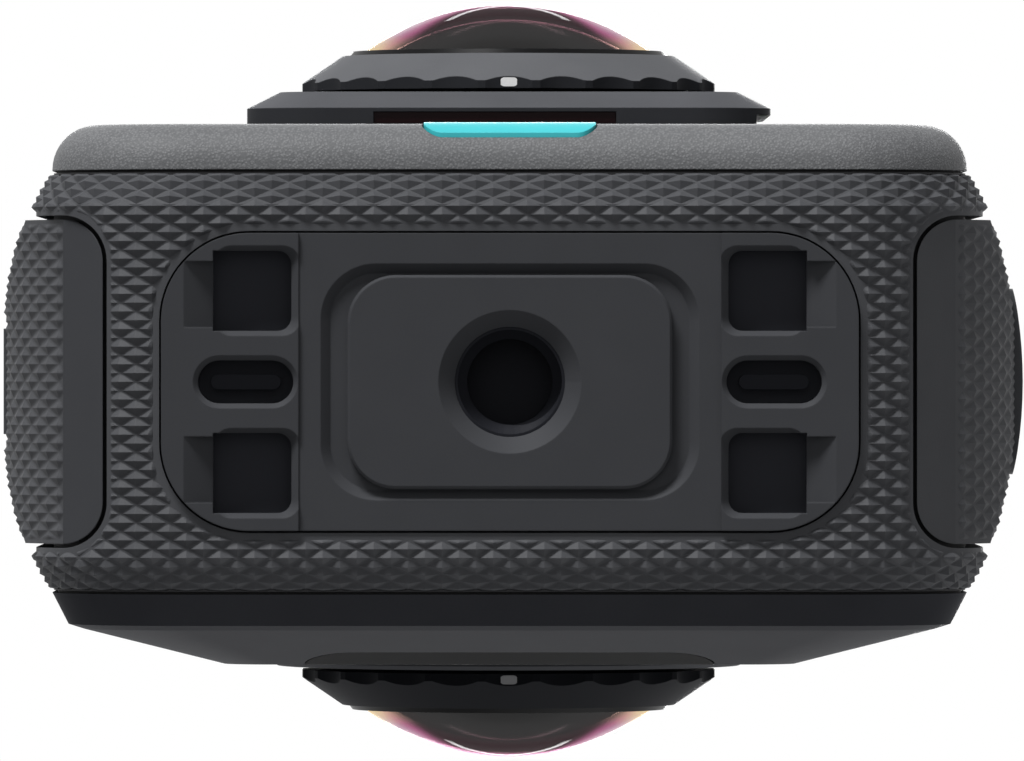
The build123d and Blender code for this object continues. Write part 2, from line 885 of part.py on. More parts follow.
def dome_profile(outer_radius, apex, edge_radius, edge_back, wall):
    """Half section of a domed glass with a straight rim."""
    inner_radius = outer_radius - wall
    centre = apex - outer_radius
    rim_top = centre + sqrt(outer_radius ** 2 - edge_radius ** 2)
    inner_edge = edge_radius - wall * dome_rim_share
    inner_rim = centre + sqrt(inner_radius ** 2 - inner_edge ** 2)
    mid = edge_radius / 2
    edges = [
        Line((0, centre + inner_radius), (0, apex)),
        ThreePointArc((0, apex), (mid, centre + sqrt(outer_radius ** 2 - mid ** 2)),
                      (edge_radius, rim_top)),
        Line((edge_radius, rim_top), (edge_radius, edge_back)),
        Line((edge_radius, edge_back), (inner_edge, edge_back)),
        Line((inner_edge, edge_back), (inner_edge, inner_rim)),
        ThreePointArc((inner_edge, inner_rim), (mid, centre + sqrt(inner_radius ** 2 - mid ** 2)),
                      (0, centre + inner_radius)),
    ]
    return make_face([Plane.XZ * edge for edge in edges])


def make_dome():
    section = dome_profile(dome_radius, dome_apex_depth, dome_edge_radius,
                           dome_edge_back_depth, dome_wall)
    return revolve(section, Axis.Z)


def make_fisheye_element():
    """The first glass of the fisheye lens, under the dome."""
    section = dome_profile(element_radius, element_apex_depth, element_edge_radius,
                           barrel_front_depth - element_wall, element_wall)
    return revolve(section, Axis.Z)


def make_lens_seal():
    """The flat seal under the sleeve's end."""
    top = sleeve_end_depth - wire_gap
    return tube(sleeve_radius - seat_gap, sleeve_bore_radius, top - seal_thickness, top)


def make_barrel():
    """The fixed lens barrel, with the plate that seats it in its mount."""
    front = tube(barrel_radius, element_edge_radius + seat_gap / 2, barrel_step_depth,
                 barrel_front_depth)
    back = tube(barrel_back_radius, barrel_back_radius - barrel_wall, barrel_back_depth,
                barrel_step_depth + barrel_wall)
    shelf = tube(barrel_radius, barrel_back_radius - barrel_wall, barrel_step_depth,
                 barrel_step_depth + barrel_wall)
    plate = tube(mount_groove_radius - seat_gap, barrel_radius - barrel_wall / 2,
                 barrel_plate_depth, barrel_plate_depth + barrel_plate_thickness)
    return front + back + shelf + plate


def make_inner_elements():
    """The glass elements in the narrow part of the barrel."""
    return [disc(barrel_back_radius - barrel_wall - seat_gap / 2, depth,
                 depth + inner_element_thickness) for depth in inner_element_depths]


def make_sensor_board():
    """The sensor's board, its package facing the barrel."""
    low = lens_wall_half + seat_gap
    mid = low + sensor_board_thickness
    half = sensor_board_width / 2
    board = block(-half, half, -half, half, low, mid)
    package = sensor_width / 2
    return board + block(-package, package, -package, package, mid, mid + sensor_thickness)


def bayonet_bore():
    """Cutter for a lens mount: the sleeve's bore, the lugs' groove and their entry slots."""
    bore = disc(sleeve_radius + seat_gap + wire_gap, 0, camera_depth)
    groove = disc(mount_groove_radius, 0, mount_groove_depth)
    slot = sector(mount_groove_radius, slot_angle, 0, camera_depth)
    return join([bore, groove] + around_lens(slot, lug_count, 90 + unlock_angle))


def make_front_mount():
    """The square front lens mount, with a notch under its right edge and a window recess."""
    half = front_mount_half
    top_half = half - front_mount_chamfer
    plate = Pos(0, 0, front_face_depth + wire_gap) * extrude(
        RectangleRounded(2 * half, 2 * half, front_mount_radius),
        amount=front_mount_wall_depth - front_face_depth - wire_gap)
    low = Pos(0, 0, front_mount_wall_depth) * RectangleRounded(
        2 * half, 2 * half, front_mount_radius)
    high = Pos(0, 0, mount_top_depth) * RectangleRounded(
        2 * top_half, 2 * top_half, front_mount_radius - front_mount_chamfer)
    plug = Pos(0, 0, mount_back_depth) * extrude(
        RectangleRounded(2 * front_plug_half, 2 * front_plug_half, front_plug_radius),
        amount=front_face_depth + wire_gap - mount_back_depth)
    mount = plate + loft([low, high], ruled=True) + plug
    notch = block(half - mount_notch_depth, half + overrun, -half - overrun, half + overrun,
                  front_face_depth, front_mount_wall_depth - mount_notch_lip)
    recess = block(-window_left, window_right, -half - overrun, -half + window_recess,
                   window_depth - window_height / 2, window_depth + window_height / 2)
    return mount - notch - recess - bayonet_bore()


def make_signal_window():
    """The dark window in the front mount's lower wall."""
    low = -front_mount_half + window_recess - window_thickness
    half_height = window_height / 2 - wire_gap
    return block(-window_left + wire_gap, window_right - wire_gap, low, low + window_thickness,
                 window_depth - half_height, window_depth + half_height)


def make_rear_mount():
    """The round rear lens mount, through the rear cover."""
    mount = disc(rear_mount_radius, mount_back_depth, mount_top_depth)
    rim = mount.edges().sort_by(Axis.Z)[-1]
    mount = chamfer(rim, length=rear_mount_chamfer)
    return mount - bayonet_bore()


# Base panel and what it carries

def pocket_cutter():
    """One latch pocket in the +X, +Y quarter: a square well, a mouth and an outboard ramp."""
    width = pocket_outer_x - pocket_inner_x
    depth = pocket_outer_y - pocket_inner_y
    centre_x = (pocket_inner_x + pocket_outer_x) / 2
    centre_y = (pocket_inner_y + pocket_outer_y) / 2
    well = Pos(centre_x, centre_y, -overrun) * extrude(
        Rectangle(width, depth), amount=pocket_sunk + overrun)
    inner_edges = well.edges().filter_by(Axis.Z).group_by(Axis.X)[0]
    well = fillet(inner_edges, radius=pocket_radius)
    mouth_low = Pos(centre_x - pocket_mouth / 2, centre_y, 0) * RectangleRounded(
        width + pocket_mouth, depth + pocket_mouth, pocket_radius + pocket_mouth / 2)
    mouth_high = Pos(centre_x, centre_y, pocket_mouth) * RectangleRounded(
        width, depth, pocket_radius)
    mouth = loft([mouth_low, mouth_high], ruled=True)
    ramp_side = [
        (pocket_outer_x - pocket_radius, -overrun),
        (ramp_outer_x, -overrun),
        (ramp_outer_x, 0),
        (pocket_outer_x, ramp_sunk),
        (pocket_outer_x - pocket_radius, ramp_sunk),
    ]
    ramp = Pos(0, ramp_outer_y, 0) * extrude(
        make_face(Plane.XZ * Polyline(*ramp_side, close=True)),
        amount=ramp_outer_y - ramp_inner_y, dir=(0, -1, 0))
    return well + mouth + ramp


def slot_cutter():
    """One latch slot: a round-ended slot with a small chamfered mouth."""
    slot = Pos(slot_centre_x, 0, -overrun) * extrude(
        SlotOverall(slot_length, slot_width), amount=slot_sunk + overrun)
    low = Pos(slot_centre_x, 0, 0) * SlotOverall(
        slot_length + 2 * slot_mouth, slot_width + 2 * slot_mouth)
    high = Pos(slot_centre_x, 0, slot_mouth) * SlotOverall(slot_length, slot_width)
    return slot + loft([low, high], ruled=True)


def make_base_panel():
    width = panel_width - 2 * panel_gap
    depth = panel_depth - 2 * panel_gap
    panel = upright(width, depth, panel_radius - panel_gap, 0, panel_thickness)
    panel = panel - block(-block_inner_x, block_inner_x, -panel_depth, panel_depth, -overrun, block_step)
    pad = upright(pad_width, pad_depth, pad_radius, 0, panel_thickness)
    pad = chamfer(pad.faces().sort_by(Axis.Z)[0].edges(), length=pad_chamfer)
    panel = panel - moat_cutter() + pad
    panel = panel + Pos(0, 0, panel_thickness) * extrude(Circle(boss_radius),
                                                         amount=insert_top - panel_thickness)
    pocket = pocket_cutter()
    slot = slot_cutter()
    for cutter in (pocket, mirror(pocket, about=Plane.XZ), slot):
        panel = panel - cutter - mirrored_x(cutter)
    return panel - socket_cutter()


def moat_cutter():
    """The moat round the pad: its outer wall slopes down to its floor."""
    low = Pos(0, 0, block_step) * RectangleRounded(moat_width, moat_depth, moat_radius)
    high = Pos(0, 0, moat_sunk) * RectangleRounded(
        moat_width - 2 * moat_slope, moat_depth - 2 * moat_slope, moat_radius - moat_slope)
    above = upright(moat_width, moat_depth, moat_radius, -overrun, block_step)
    return above + loft([low, high], ruled=True)


def socket_cutter():
    """The tripod socket's coned mouth, its neck and the insert's seat."""
    profile = [
        (0, -overrun),
        (socket_mouth_radius, -overrun),
        (socket_mouth_radius, 0),
        (socket_neck_radius, insert_bottom - seat_gap),
        (socket_neck_radius, insert_bottom - wire_gap),
        (insert_radius + wire_gap, insert_bottom - wire_gap),
        (insert_radius + wire_gap, insert_top + overrun),
        (0, insert_top + overrun),
    ]
    return revolve(make_face(Plane.XZ * Polyline(*profile, close=True)), Axis.Z)


def make_tripod_insert():
    """The metal insert: a blind bore of the tripod screw's size."""
    body = Pos(0, 0, insert_bottom) * extrude(Circle(insert_radius), amount=insert_top - insert_bottom)
    return body - Pos(0, 0, -overrun) * extrude(Circle(thread_radius), amount=thread_top + overrun)


def make_latch_plates():
    """The steel catch in each latch slot."""
    plate = Pos(slot_centre_x, 0, latch_plate_top) * extrude(
        SlotOverall(latch_plate_length, latch_plate_width), amount=slot_sunk - latch_plate_top)
    return [plate, mirrored_x(plate)]


def make_latch_magnets():
    half = magnet_width / 2
    low = panel_thickness + wire_gap
    return [block(x - half, x + half, y - half, y + half, low, low + magnet_thickness)
            for x, y in magnet_places()]


# Side door assembly

def knuckle_slot():
    """Room in the door for the frame's hinge lug."""
    return block(-camera_width, 0, -lug_half - lug_gap, lug_half + lug_gap,
                 door_slot_bottom, body_top)


def latch_room():
    """The latch's window in the skin and its rail slot in the door."""
    half = latch_half_depth + lug_gap
    plate = block(-camera_width, -latch_back_x + seat_gap, -half, half,
                  latch_bottom - lug_gap, latch_top + latch_travel + lug_gap)
    rail_half = latch_rail_half_depth + lug_gap
    rail = block(-camera_width, -latch_rail_x + seat_gap, -rail_half, rail_half,
                 latch_bottom + latch_rail_inset - lug_gap,
                 latch_top - latch_rail_inset + latch_travel + lug_gap)
    return plate + rail


def skin_room():
    """Everything outside the door's core, between the skin's two ends."""
    core = Pos(skin_thickness, 0, 0) * side_form(0)
    band = block(-camera_width, 0, -camera_depth, camera_depth, skin_bottom, skin_top)
    return band - core


def make_side_door():
    door = side_form(0) - skin_room() - knuckle_slot() - latch_room()
    return door - pin_hole(running_gap, camera_depth)


def make_door_skin():
    return (side_form(0) & skin_room()) - latch_room()


def make_door_seal():
    """The rubber frame on the door's inner face, which it follows round the corner."""
    layer = Pos(door_seal_depth, 0, 0) * side_form(0) - Pos(wire_gap, 0, 0) * side_form(0)
    return (layer & seal_ring(0)) - block(-camera_width, -door_inner_x, -camera_depth, camera_depth,
                                          stand_off + body_corner_radius, body_top)


def make_door_latch():
    """The slider: a plate with grip ribs, and the rail that guides it."""
    plate = block(-latch_face_x, -latch_back_x, -latch_half_depth, latch_half_depth,
                  latch_bottom, latch_top)
    rail = block(-latch_back_x, -latch_rail_x, -latch_rail_half_depth, latch_rail_half_depth,
                 latch_bottom + latch_rail_inset, latch_top - latch_rail_inset)
    step = (latch_top - latch_bottom) / (latch_rib_count + 1)
    rib = Pos(-latch_face_x, latch_half_depth - lug_gap, 0) * Rot(90, 0, 0) * extrude(
        Circle(latch_rib_radius), amount=2 * (latch_half_depth - lug_gap))
    ribs = [Pos(0, 0, latch_bottom + step * (turn + 1)) * rib for turn in range(latch_rib_count)]
    return plate + rail + ribs


def make_hinge_pin():
    return Pos(-hinge_x, hinge_pin_half, hinge_z) * Rot(90, 0, 0) * extrude(
        Circle(hinge_pin_radius), amount=2 * hinge_pin_half)


# Side pad and power button

def power_prism(grown, x_low, x_high):
    """The power button's outline, run through the side pad."""
    outline = Plane.YZ * RectangleRounded(2 * (power_half_depth + grown),
                                          power_top - power_bottom + 2 * grown, power_radius + grown)
    centre_z = (power_bottom + power_top) / 2
    return Pos(x_low, 0, centre_z) * extrude(outline, amount=x_high - x_low)


def make_side_pad():
    form = mirrored_x(side_form(pad_drop))
    flange_end = power_inner_x + power_flange_thickness + part_gap
    room = power_prism(power_flange + part_gap, 0, flange_end)
    return form - room - power_prism(part_gap, 0, camera_width)


def make_power_button():
    head = power_prism(0, power_inner_x, camera_width / 2)
    crown = Pos(camera_width / 2 - side_crown_radius, 0, -overrun) * extrude(
        Circle(side_crown_radius), amount=body_top)
    flange = power_prism(power_flange, power_inner_x, power_inner_x + power_flange_thickness)
    return (head & crown) + flange


def make_power_switch():
    """The switch behind the power button, its plunger just short of the pressed button."""
    centre_z = (power_bottom + power_top) / 2
    back = frame_inner_x - seat_gap
    half = switch_width / 2
    body = block(back - switch_thickness, back, -half, half, centre_z - half, centre_z + half)
    tip = power_inner_x - power_travel - switch_clearance
    plunger = Pos(back, 0, centre_z) * Rot(0, 90, 0) * extrude(Circle(switch_radius), amount=tip - back)
    return body + plunger


# Shutter button

def shutter_flange_top():
    return frame_inner_top - seat_gap


def make_shutter_button():
    top = shutter_flange_top()
    head = upright(shutter_width, shutter_depth, shutter_radius, top, camera_height)
    head = chamfer(head.faces().sort_by(Axis.Z)[-1].edges(), length=shutter_chamfer)
    flange = upright(shutter_width + 2 * shutter_flange, shutter_depth + 2 * shutter_flange,
                     shutter_radius + shutter_flange, top - shutter_flange_thickness, top)
    return head + flange


def make_shutter_switch():
    """The switch on the lens wall's notch, under the shutter button."""
    low = lens_wall_notch_z + wire_gap
    high = shutter_flange_top() - shutter_flange_thickness - shutter_travel - switch_clearance
    half = switch_width / 2
    waist = (low + high) / 2
    body = block(-half, half, -half, half, low, waist)
    return body + Pos(0, 0, waist) * extrude(Circle(switch_radius), amount=high - waist)


# Battery, ports and card

def make_battery():
    low_z = bay_bottom + battery_gap
    high_z = bay_top - battery_gap
    half = bay_half_depth - battery_gap
    low_x = -door_inner_x + battery_door_gap
    high_x = bay_end_x - contact_thickness - battery_gap - seat_gap
    battery = block(low_x, high_x, -half, half, low_z, high_z)
    return fillet(battery.edges().filter_by(Axis.X), radius=battery_corner)


def make_battery_contacts():
    high_x = bay_end_x - wire_gap
    half = contact_width / 2
    centre_z = (bay_bottom + bay_top) / 2
    return block(high_x - contact_thickness, high_x, -half, half,
                 centre_z - contact_height / 2, centre_z + contact_height / 2)


def make_port_board():
    return block(-frame_inner_x + battery_gap, -port_board_inner_x,
                 -port_board_half_depth, port_board_half_depth,
                 port_board_top - port_board_thickness, port_board_top)


def make_usb_socket():
    """A round-ended metal shell with a contact tongue."""
    outline = Plane.YZ * SlotOverall(usb_width, usb_height)
    hollow = Plane.YZ * SlotOverall(usb_width - 2 * usb_wall, usb_height - 2 * usb_wall)
    start = -frame_side_x + frame_wall / 2
    centre_z = port_board_top + usb_height / 2 + wire_gap
    shell = extrude(outline, amount=usb_length) - extrude(hollow, amount=usb_length - usb_wall)
    tongue = block(usb_wall, usb_length - usb_wall / 2, -usb_tongue_width / 2, usb_tongue_width / 2,
                   -usb_tongue_thickness / 2, usb_tongue_thickness / 2)
    return Pos(start, 0, centre_z) * (shell + tongue)


def card_centre_z():
    return port_board_top - port_board_thickness - card_gap - card_socket_wall - card_thickness / 2


def make_card_socket():
    """The card socket under the port board, open towards the door."""
    half = card_width / 2 + card_gap + card_socket_wall
    half_height = card_thickness / 2 + card_gap + card_socket_wall - wire_gap
    back = -card_outer_x + card_length + card_travel + card_gap
    body = block(-frame_inner_x + battery_gap, back + card_socket_wall, -half, half,
                 card_centre_z() - half_height, card_centre_z() + half_height)
    mouth = block(-camera_width, back, -card_width / 2 - card_gap, card_width / 2 + card_gap,
                  card_centre_z() - card_thickness / 2 - card_gap,
                  card_centre_z() + card_thickness / 2 + card_gap)
    return body - mouth


def make_memory_card():
    """A small card with its side notch."""
    half = card_thickness / 2
    card = block(-card_outer_x, -card_outer_x + card_length, -card_width / 2, card_width / 2,
                 card_centre_z() - half, card_centre_z() + half)
    notch_x = -card_outer_x + card_length * card_notch_share
    notch = block(notch_x, -card_outer_x + card_length + overrun, card_width / 2 - card_notch,
                  card_width / 2 + overrun, card_centre_z() - card_thickness,
                  card_centre_z() + card_thickness)
    return card - notch


# Boards and small inner pieces

def make_main_board():
    """The upright main board, with its chips towards the power side."""
    low_x = main_board_x
    high_x = main_board_x + main_board_thickness
    board = block(low_x, high_x, -main_board_half_depth, main_board_half_depth,
                  main_board_bottom + seat_gap, main_board_top)
    half = chip_size / 2
    chips = []
    for share in chip_shares:
        z = main_board_bottom + share * (main_board_top - main_board_bottom)
        chips.append(block(high_x, high_x + chip_thickness, -half, half, z - half, z + half))
    return board + chips


def make_heat_spreader():
    """A finned plate over the main board's chips."""
    low_x = main_board_x + main_board_thickness + chip_thickness + spreader_gap
    high_x = low_x + spreader_thickness
    plate = block(low_x, high_x, -main_board_half_depth, main_board_half_depth,
                  spreader_bottom, spreader_top)
    step = 2 * (main_board_half_depth - spreader_fin_thickness) / (spreader_fin_count - 1)
    first = -main_board_half_depth + spreader_fin_thickness / 2
    fins = []
    for turn in range(spreader_fin_count):
        low_y = first + step * turn
        fins.append(block(high_x, high_x + spreader_fin_depth, low_y, low_y + spreader_fin_thickness,
                          spreader_bottom, spreader_top - speaker_height))
    return plate + fins


def make_speaker():
    """A flat speaker with a rounded cone, against the side wall."""
    high_x = frame_inner_x - seat_gap
    half = speaker_width / 2
    low_z = spreader_top - speaker_height + 2 * part_gap
    case = block(high_x - speaker_thickness, high_x, -half, half, low_z, low_z + speaker_height)
    return fillet(case.edges().filter_by(Axis.X), radius=speaker_thickness / 2)


def make_microphones():
    """Two round microphones under the top wall."""
    top = frame_inner_top - wire_gap
    can = Pos(microphone_x, 0, top - microphone_height) * extrude(
        Circle(microphone_radius), amount=microphone_height)
    return [can, mirrored_x(can)]


def make_antenna():
    """A thin antenna strip under the top wall, behind the left microphone."""
    top = frame_inner_top - wire_gap
    low_y = half_band - 2 * antenna_half_depth - frame_wall
    return block(-antenna_left, -antenna_right, low_y, low_y + 2 * antenna_half_depth,
                 top - antenna_thickness, top)


def make_case_screws():
    """Four long screws from the rear, through the frame's towers into the front cover."""
    head_y = half_band + seat_gap
    shanks = four_towers(screw_radius, -screw_tip_depth, head_y)
    heads = four_towers(screw_head_radius, head_y, head_y + screw_head_height)
    return [shank + head for shank, head in zip(shanks, heads)]


# Writing the pieces

def solids_of(shape):
    """The closed solids of a shape, or of a list of shapes."""
    shapes = shape if isinstance(shape, list) else [shape]
    return [solid for item in shapes for solid in item.solids()]


def save(name, shape):
    solids = solids_of(shape)
    body = solids[0] if len(solids) == 1 else Compound(children=solids)
    export_step(body, "parts/" + name + ".step")


def save_lens(side, place):
    """One lens stack, turned to look out of its side."""
    pieces = {
        "lens_ring": make_lens_ring(),
        "index_mark": make_index_mark(),
        "lens_bezel": make_lens_bezel(),
        "dome": make_dome(),
        "lens_seal": make_lens_seal(),
        "lens_barrel": make_barrel(),
        "fisheye_element": make_fisheye_element(),
        "inner_elements": make_inner_elements(),
        "sensor_board": make_sensor_board(),
    }
    for name, piece in pieces.items():
        solids = [place(solid) for solid in solids_of(piece)]
        save(side + "_" + name, solids)


save("mid_frame", make_mid_frame())
save("grip_band", make_grip_band())
save("front_cover", make_front_cover())
save("rear_cover", make_rear_cover())
save("front_gasket", make_gasket(-1))
save("rear_gasket", make_gasket(1))
save("accent_strip", make_accent_strip())
save("screen_glass", make_screen_glass())
save("display_module", make_display_module())
save("front_lens_mount", face_front(make_front_mount()))
save("rear_lens_mount", face_rear(make_rear_mount()))
save("signal_window", face_front(make_signal_window()))
save_lens("front", face_front)
save_lens("rear", face_rear)
save("base_panel", make_base_panel())
save("tripod_insert", make_tripod_insert())
save("latch_plates", make_latch_plates())
save("latch_magnets", make_latch_magnets())
save("side_door", make_side_door())
save("door_skin", make_door_skin())
save("door_seal", make_door_seal())
save("door_latch", make_door_latch())
save("hinge_pin", make_hinge_pin())
save("side_pad", make_side_pad())
save("power_button", make_power_button())
save("power_switch", make_power_switch())
save("shutter_button", make_shutter_button())
save("shutter_switch", make_shutter_switch())
save("battery", make_battery())
save("battery_contacts", make_battery_contacts())
save("port_board", make_port_board())
save("usb_socket", make_usb_socket())
save("card_socket", make_card_socket())
save("memory_card", make_memory_card())
save("main_board", make_main_board())
save("heat_spreader", make_heat_spreader())
save("speaker", make_speaker())
save("microphones", make_microphones())
save("antenna", make_antenna())
save("case_screws", make_case_screws())
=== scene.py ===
import bpy
import json
from math import pi, radians
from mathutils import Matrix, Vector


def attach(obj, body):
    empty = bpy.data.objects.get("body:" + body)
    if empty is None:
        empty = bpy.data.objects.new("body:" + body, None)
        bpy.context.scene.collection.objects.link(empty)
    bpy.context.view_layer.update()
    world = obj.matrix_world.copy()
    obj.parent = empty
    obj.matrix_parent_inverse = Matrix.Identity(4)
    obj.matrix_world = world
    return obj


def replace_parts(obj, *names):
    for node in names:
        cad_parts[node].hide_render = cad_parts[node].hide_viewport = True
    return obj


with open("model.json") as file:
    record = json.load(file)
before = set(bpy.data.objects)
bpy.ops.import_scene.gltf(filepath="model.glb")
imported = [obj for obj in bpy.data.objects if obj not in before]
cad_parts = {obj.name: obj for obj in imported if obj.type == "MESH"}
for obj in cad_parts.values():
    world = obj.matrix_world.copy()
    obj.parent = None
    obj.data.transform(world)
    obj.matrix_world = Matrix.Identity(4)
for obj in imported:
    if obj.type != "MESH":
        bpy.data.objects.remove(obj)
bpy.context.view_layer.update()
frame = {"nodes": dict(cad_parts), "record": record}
nodes = frame["nodes"]
MM = 0.001

# Sizes of the solid model that the diamonds and the finishes follow, in millimetres
BODY_WIDTH = 58.7
BODY_LOW = 0.4
BODY_TOP = 68.75
BODY_CORNER = 9.25
BAND_CORE = 10.9
BEVEL_DEPTH = 2.0
BEVEL_INSET = 1.1
BEVEL_SLOPE = (BEVEL_DEPTH ** 2 + BEVEL_INSET ** 2) ** 0.5
HALF_PERIMETER = BODY_WIDTH + BODY_TOP - BODY_LOW - (4 - pi) * BODY_CORNER
PANEL_HALF_WIDTH = 22.5
LENS_HEIGHT = 45.0
DOME_RADIUS = 15.4
DOME_APEX = 24.35
RING_RADIUS = 13.4
RING_SHOULDER = 19.15
RING_TOP_RADIUS = 10.75
RING_TOP = 20.95
RING_SLOPE = (RING_RADIUS - RING_TOP_RADIUS) / (RING_TOP - RING_SHOULDER)
MOUNT_WALL_DEPTH = 17.35

# Where the painted shade in the base panel's recesses starts, and the depth from which it is full
RECESS_FROM = 0.8
RECESS_FULL = 2.2

# How far a place may lie off the dome's outer face, or off the ring's cone, and still be on it
DOME_MARGIN = 0.3
CONE_MARGIN = 0.06

# The share of the fine grain in a colour's patches; the broad ones have the rest
FINE_SHARE = 0.45

# The diamonds: their cells, the share of a cell that a foot covers, their heights, how deep
# their feet lie in the rubber, and how far from a rim they reach their full height
BAND_COLUMNS = 114
BAND_ROWS = 49
SIDE_COLUMNS = 24
SIDE_ROWS = 39
CELL_LENGTH = 2 * HALF_PERIMETER / BAND_COLUMNS
CELL_WIDTH = 1.08
FOOT_SHARE = 0.98
BAND_DIAMOND = 0.33
SIDE_DIAMOND = 0.23
DIAMOND_SINK = 0.03
RIM_RAMP = 0.25

# Diamonds this near to a rim are finer, and those this far into an opening are left out
FINE_WITHIN = 1.1
LEFT_OUT_PAST = 0.5

# The sheets: their gap to the band's rims, their reach on the two sides, and how far the
# door's skin moves in to leave room for its diamonds
BAND_RIM_GAP = 0.08
SIDE_HALF_WIDTH = 9.75
PAD_REACH = (4.5, 51.2)
SKIN_REACH = (4.6, 48.0)
SKIN_SINK = 0.2

# Rays that find the two sides: how far out they start, and their length
RAY_START = 33.0
RAY_LENGTH = 8.5

# Openings of the sheets: from, to, half width, corner radii at the two ends, and the smooth rim
PANEL_OPENING = (-21.5, 21.5, 9.25, 5.5, 5.5, 0.4)
SIDE_OPENING = (24.97, 77.5, 10.25, 2.85, 1.5, 0.2)
SHUTTER_OPENING = (-7.25, 7.25, 4.25, 3.25, 3.25, 0.4)
LATCH_OPENING = (15.3, 26.2, 3.7, 0.0, 0.0, 0.3)
BUTTON_OPENING = (13.75, 30.25, 6.05, 1.85, 1.85, 0.3)

# Two points of a mesh closer than this, in metres, become one; no distance counts as less
# than the second when it divides
MERGE_WITHIN = 1e-6
LEAST_DISTANCE = 1e-7

# How far the strip lamps over the domes are turned from left to right, in degrees
STRIP_ROLL = 72.0

# How brightly the white world lights the object
WORLD_LIGHT = 0.22


# Nodes for finishes and for repeated shapes

class Value:
    """An output socket that sums can be written with."""

    def __init__(self, nodes, socket):
        self.nodes = nodes
        self.socket = socket

    def math(self, operation, *inputs):
        return self.nodes.add("ShaderNodeMath", {"operation": operation}, dict(enumerate(inputs)))

    def __add__(self, other):
        return self.math("ADD", self, other)

    __radd__ = __add__

    def __sub__(self, other):
        return self.math("SUBTRACT", self, other)

    def __rsub__(self, other):
        return self.math("SUBTRACT", other, self)

    def __mul__(self, other):
        return self.math("MULTIPLY", self, other)

    __rmul__ = __mul__

    def __truediv__(self, other):
        return self.math("DIVIDE", self, other)

    def __rtruediv__(self, other):
        return self.math("DIVIDE", other, self)

    def __pow__(self, other):
        return self.math("POWER", self, other)

    def __neg__(self):
        return self.math("MULTIPLY", self, -1.0)

    def __mod__(self, other):
        return self.math("FLOORED_MODULO", self, other)

    def __abs__(self):
        return self.math("ABSOLUTE", self)

    def sign(self):
        return self.math("SIGN", self)

    def floor(self):
        return self.math("FLOOR", self)

    def sine(self):
        return self.math("SINE", self)

    def cosine(self):
        return self.math("COSINE", self)

    def largest(self, other):
        return self.math("MAXIMUM", self, other)

    def smallest(self, other):
        return self.math("MINIMUM", self, other)

    def over(self, other):
        """1 where this is more than the other, and 0 elsewhere."""
        return self.math("GREATER_THAN", self, other)

    def rise(self, low, high):
        """0 up to the low value, 1 from the high one on, and a straight rise between them."""
        return ((self - low) / (high - low)).largest(0.0).smallest(1.0)


class Nodes:
    """The nodes of one finish, of the world or of one repeated shape."""

    def __init__(self, tree):
        self.tree = tree
        tree.nodes.clear()

    def add(self, kind, settings=None, sockets=None, out=0):
        """One node: its settings first, then the values or links of its sockets."""
        node = self.tree.nodes.new(kind)
        for name, value in (settings or {}).items():
            setattr(node, name, value)
        for name, value in (sockets or {}).items():
            if isinstance(value, Value):
                self.tree.links.new(value.socket, node.inputs[name])
            else:
                node.inputs[name].default_value = value
        return Value(self, node.outputs[out]) if len(node.outputs) else node

    def other_output(self, value, out):
        """Another output of the node that a value comes from."""
        return Value(self, value.socket.node.outputs[out])

    def moved(self, vector, step):
        return self.add("ShaderNodeVectorMath", {"operation": "ADD"}, {0: vector, 1: step})

    def scaled(self, vector, factor):
        return self.add("ShaderNodeVectorMath", {"operation": "SCALE"},
                        {"Vector": vector, "Scale": factor})

    def combine(self, x, y, z):
        return self.add("ShaderNodeCombineXYZ", None, {"X": x, "Y": y, "Z": z})

    def separate(self, vector):
        split = self.add("ShaderNodeSeparateXYZ", None, {"Vector": vector})
        return split, self.other_output(split, 1), self.other_output(split, 2)

    def blend(self, share, first, second):
        """The first shader, with the second over it by a share."""
        return self.add("ShaderNodeMixShader", None, {"Fac": share, 1: first, 2: second})


def linear(red, green, blue):
    """A colour from its 0 to 255 screen values."""
    def channel(value):
        share = value / 255
        return share / 12.92 if share <= 0.04045 else ((share + 0.055) / 1.055) ** 2.4
    return (channel(red), channel(green), channel(blue), 1.0)


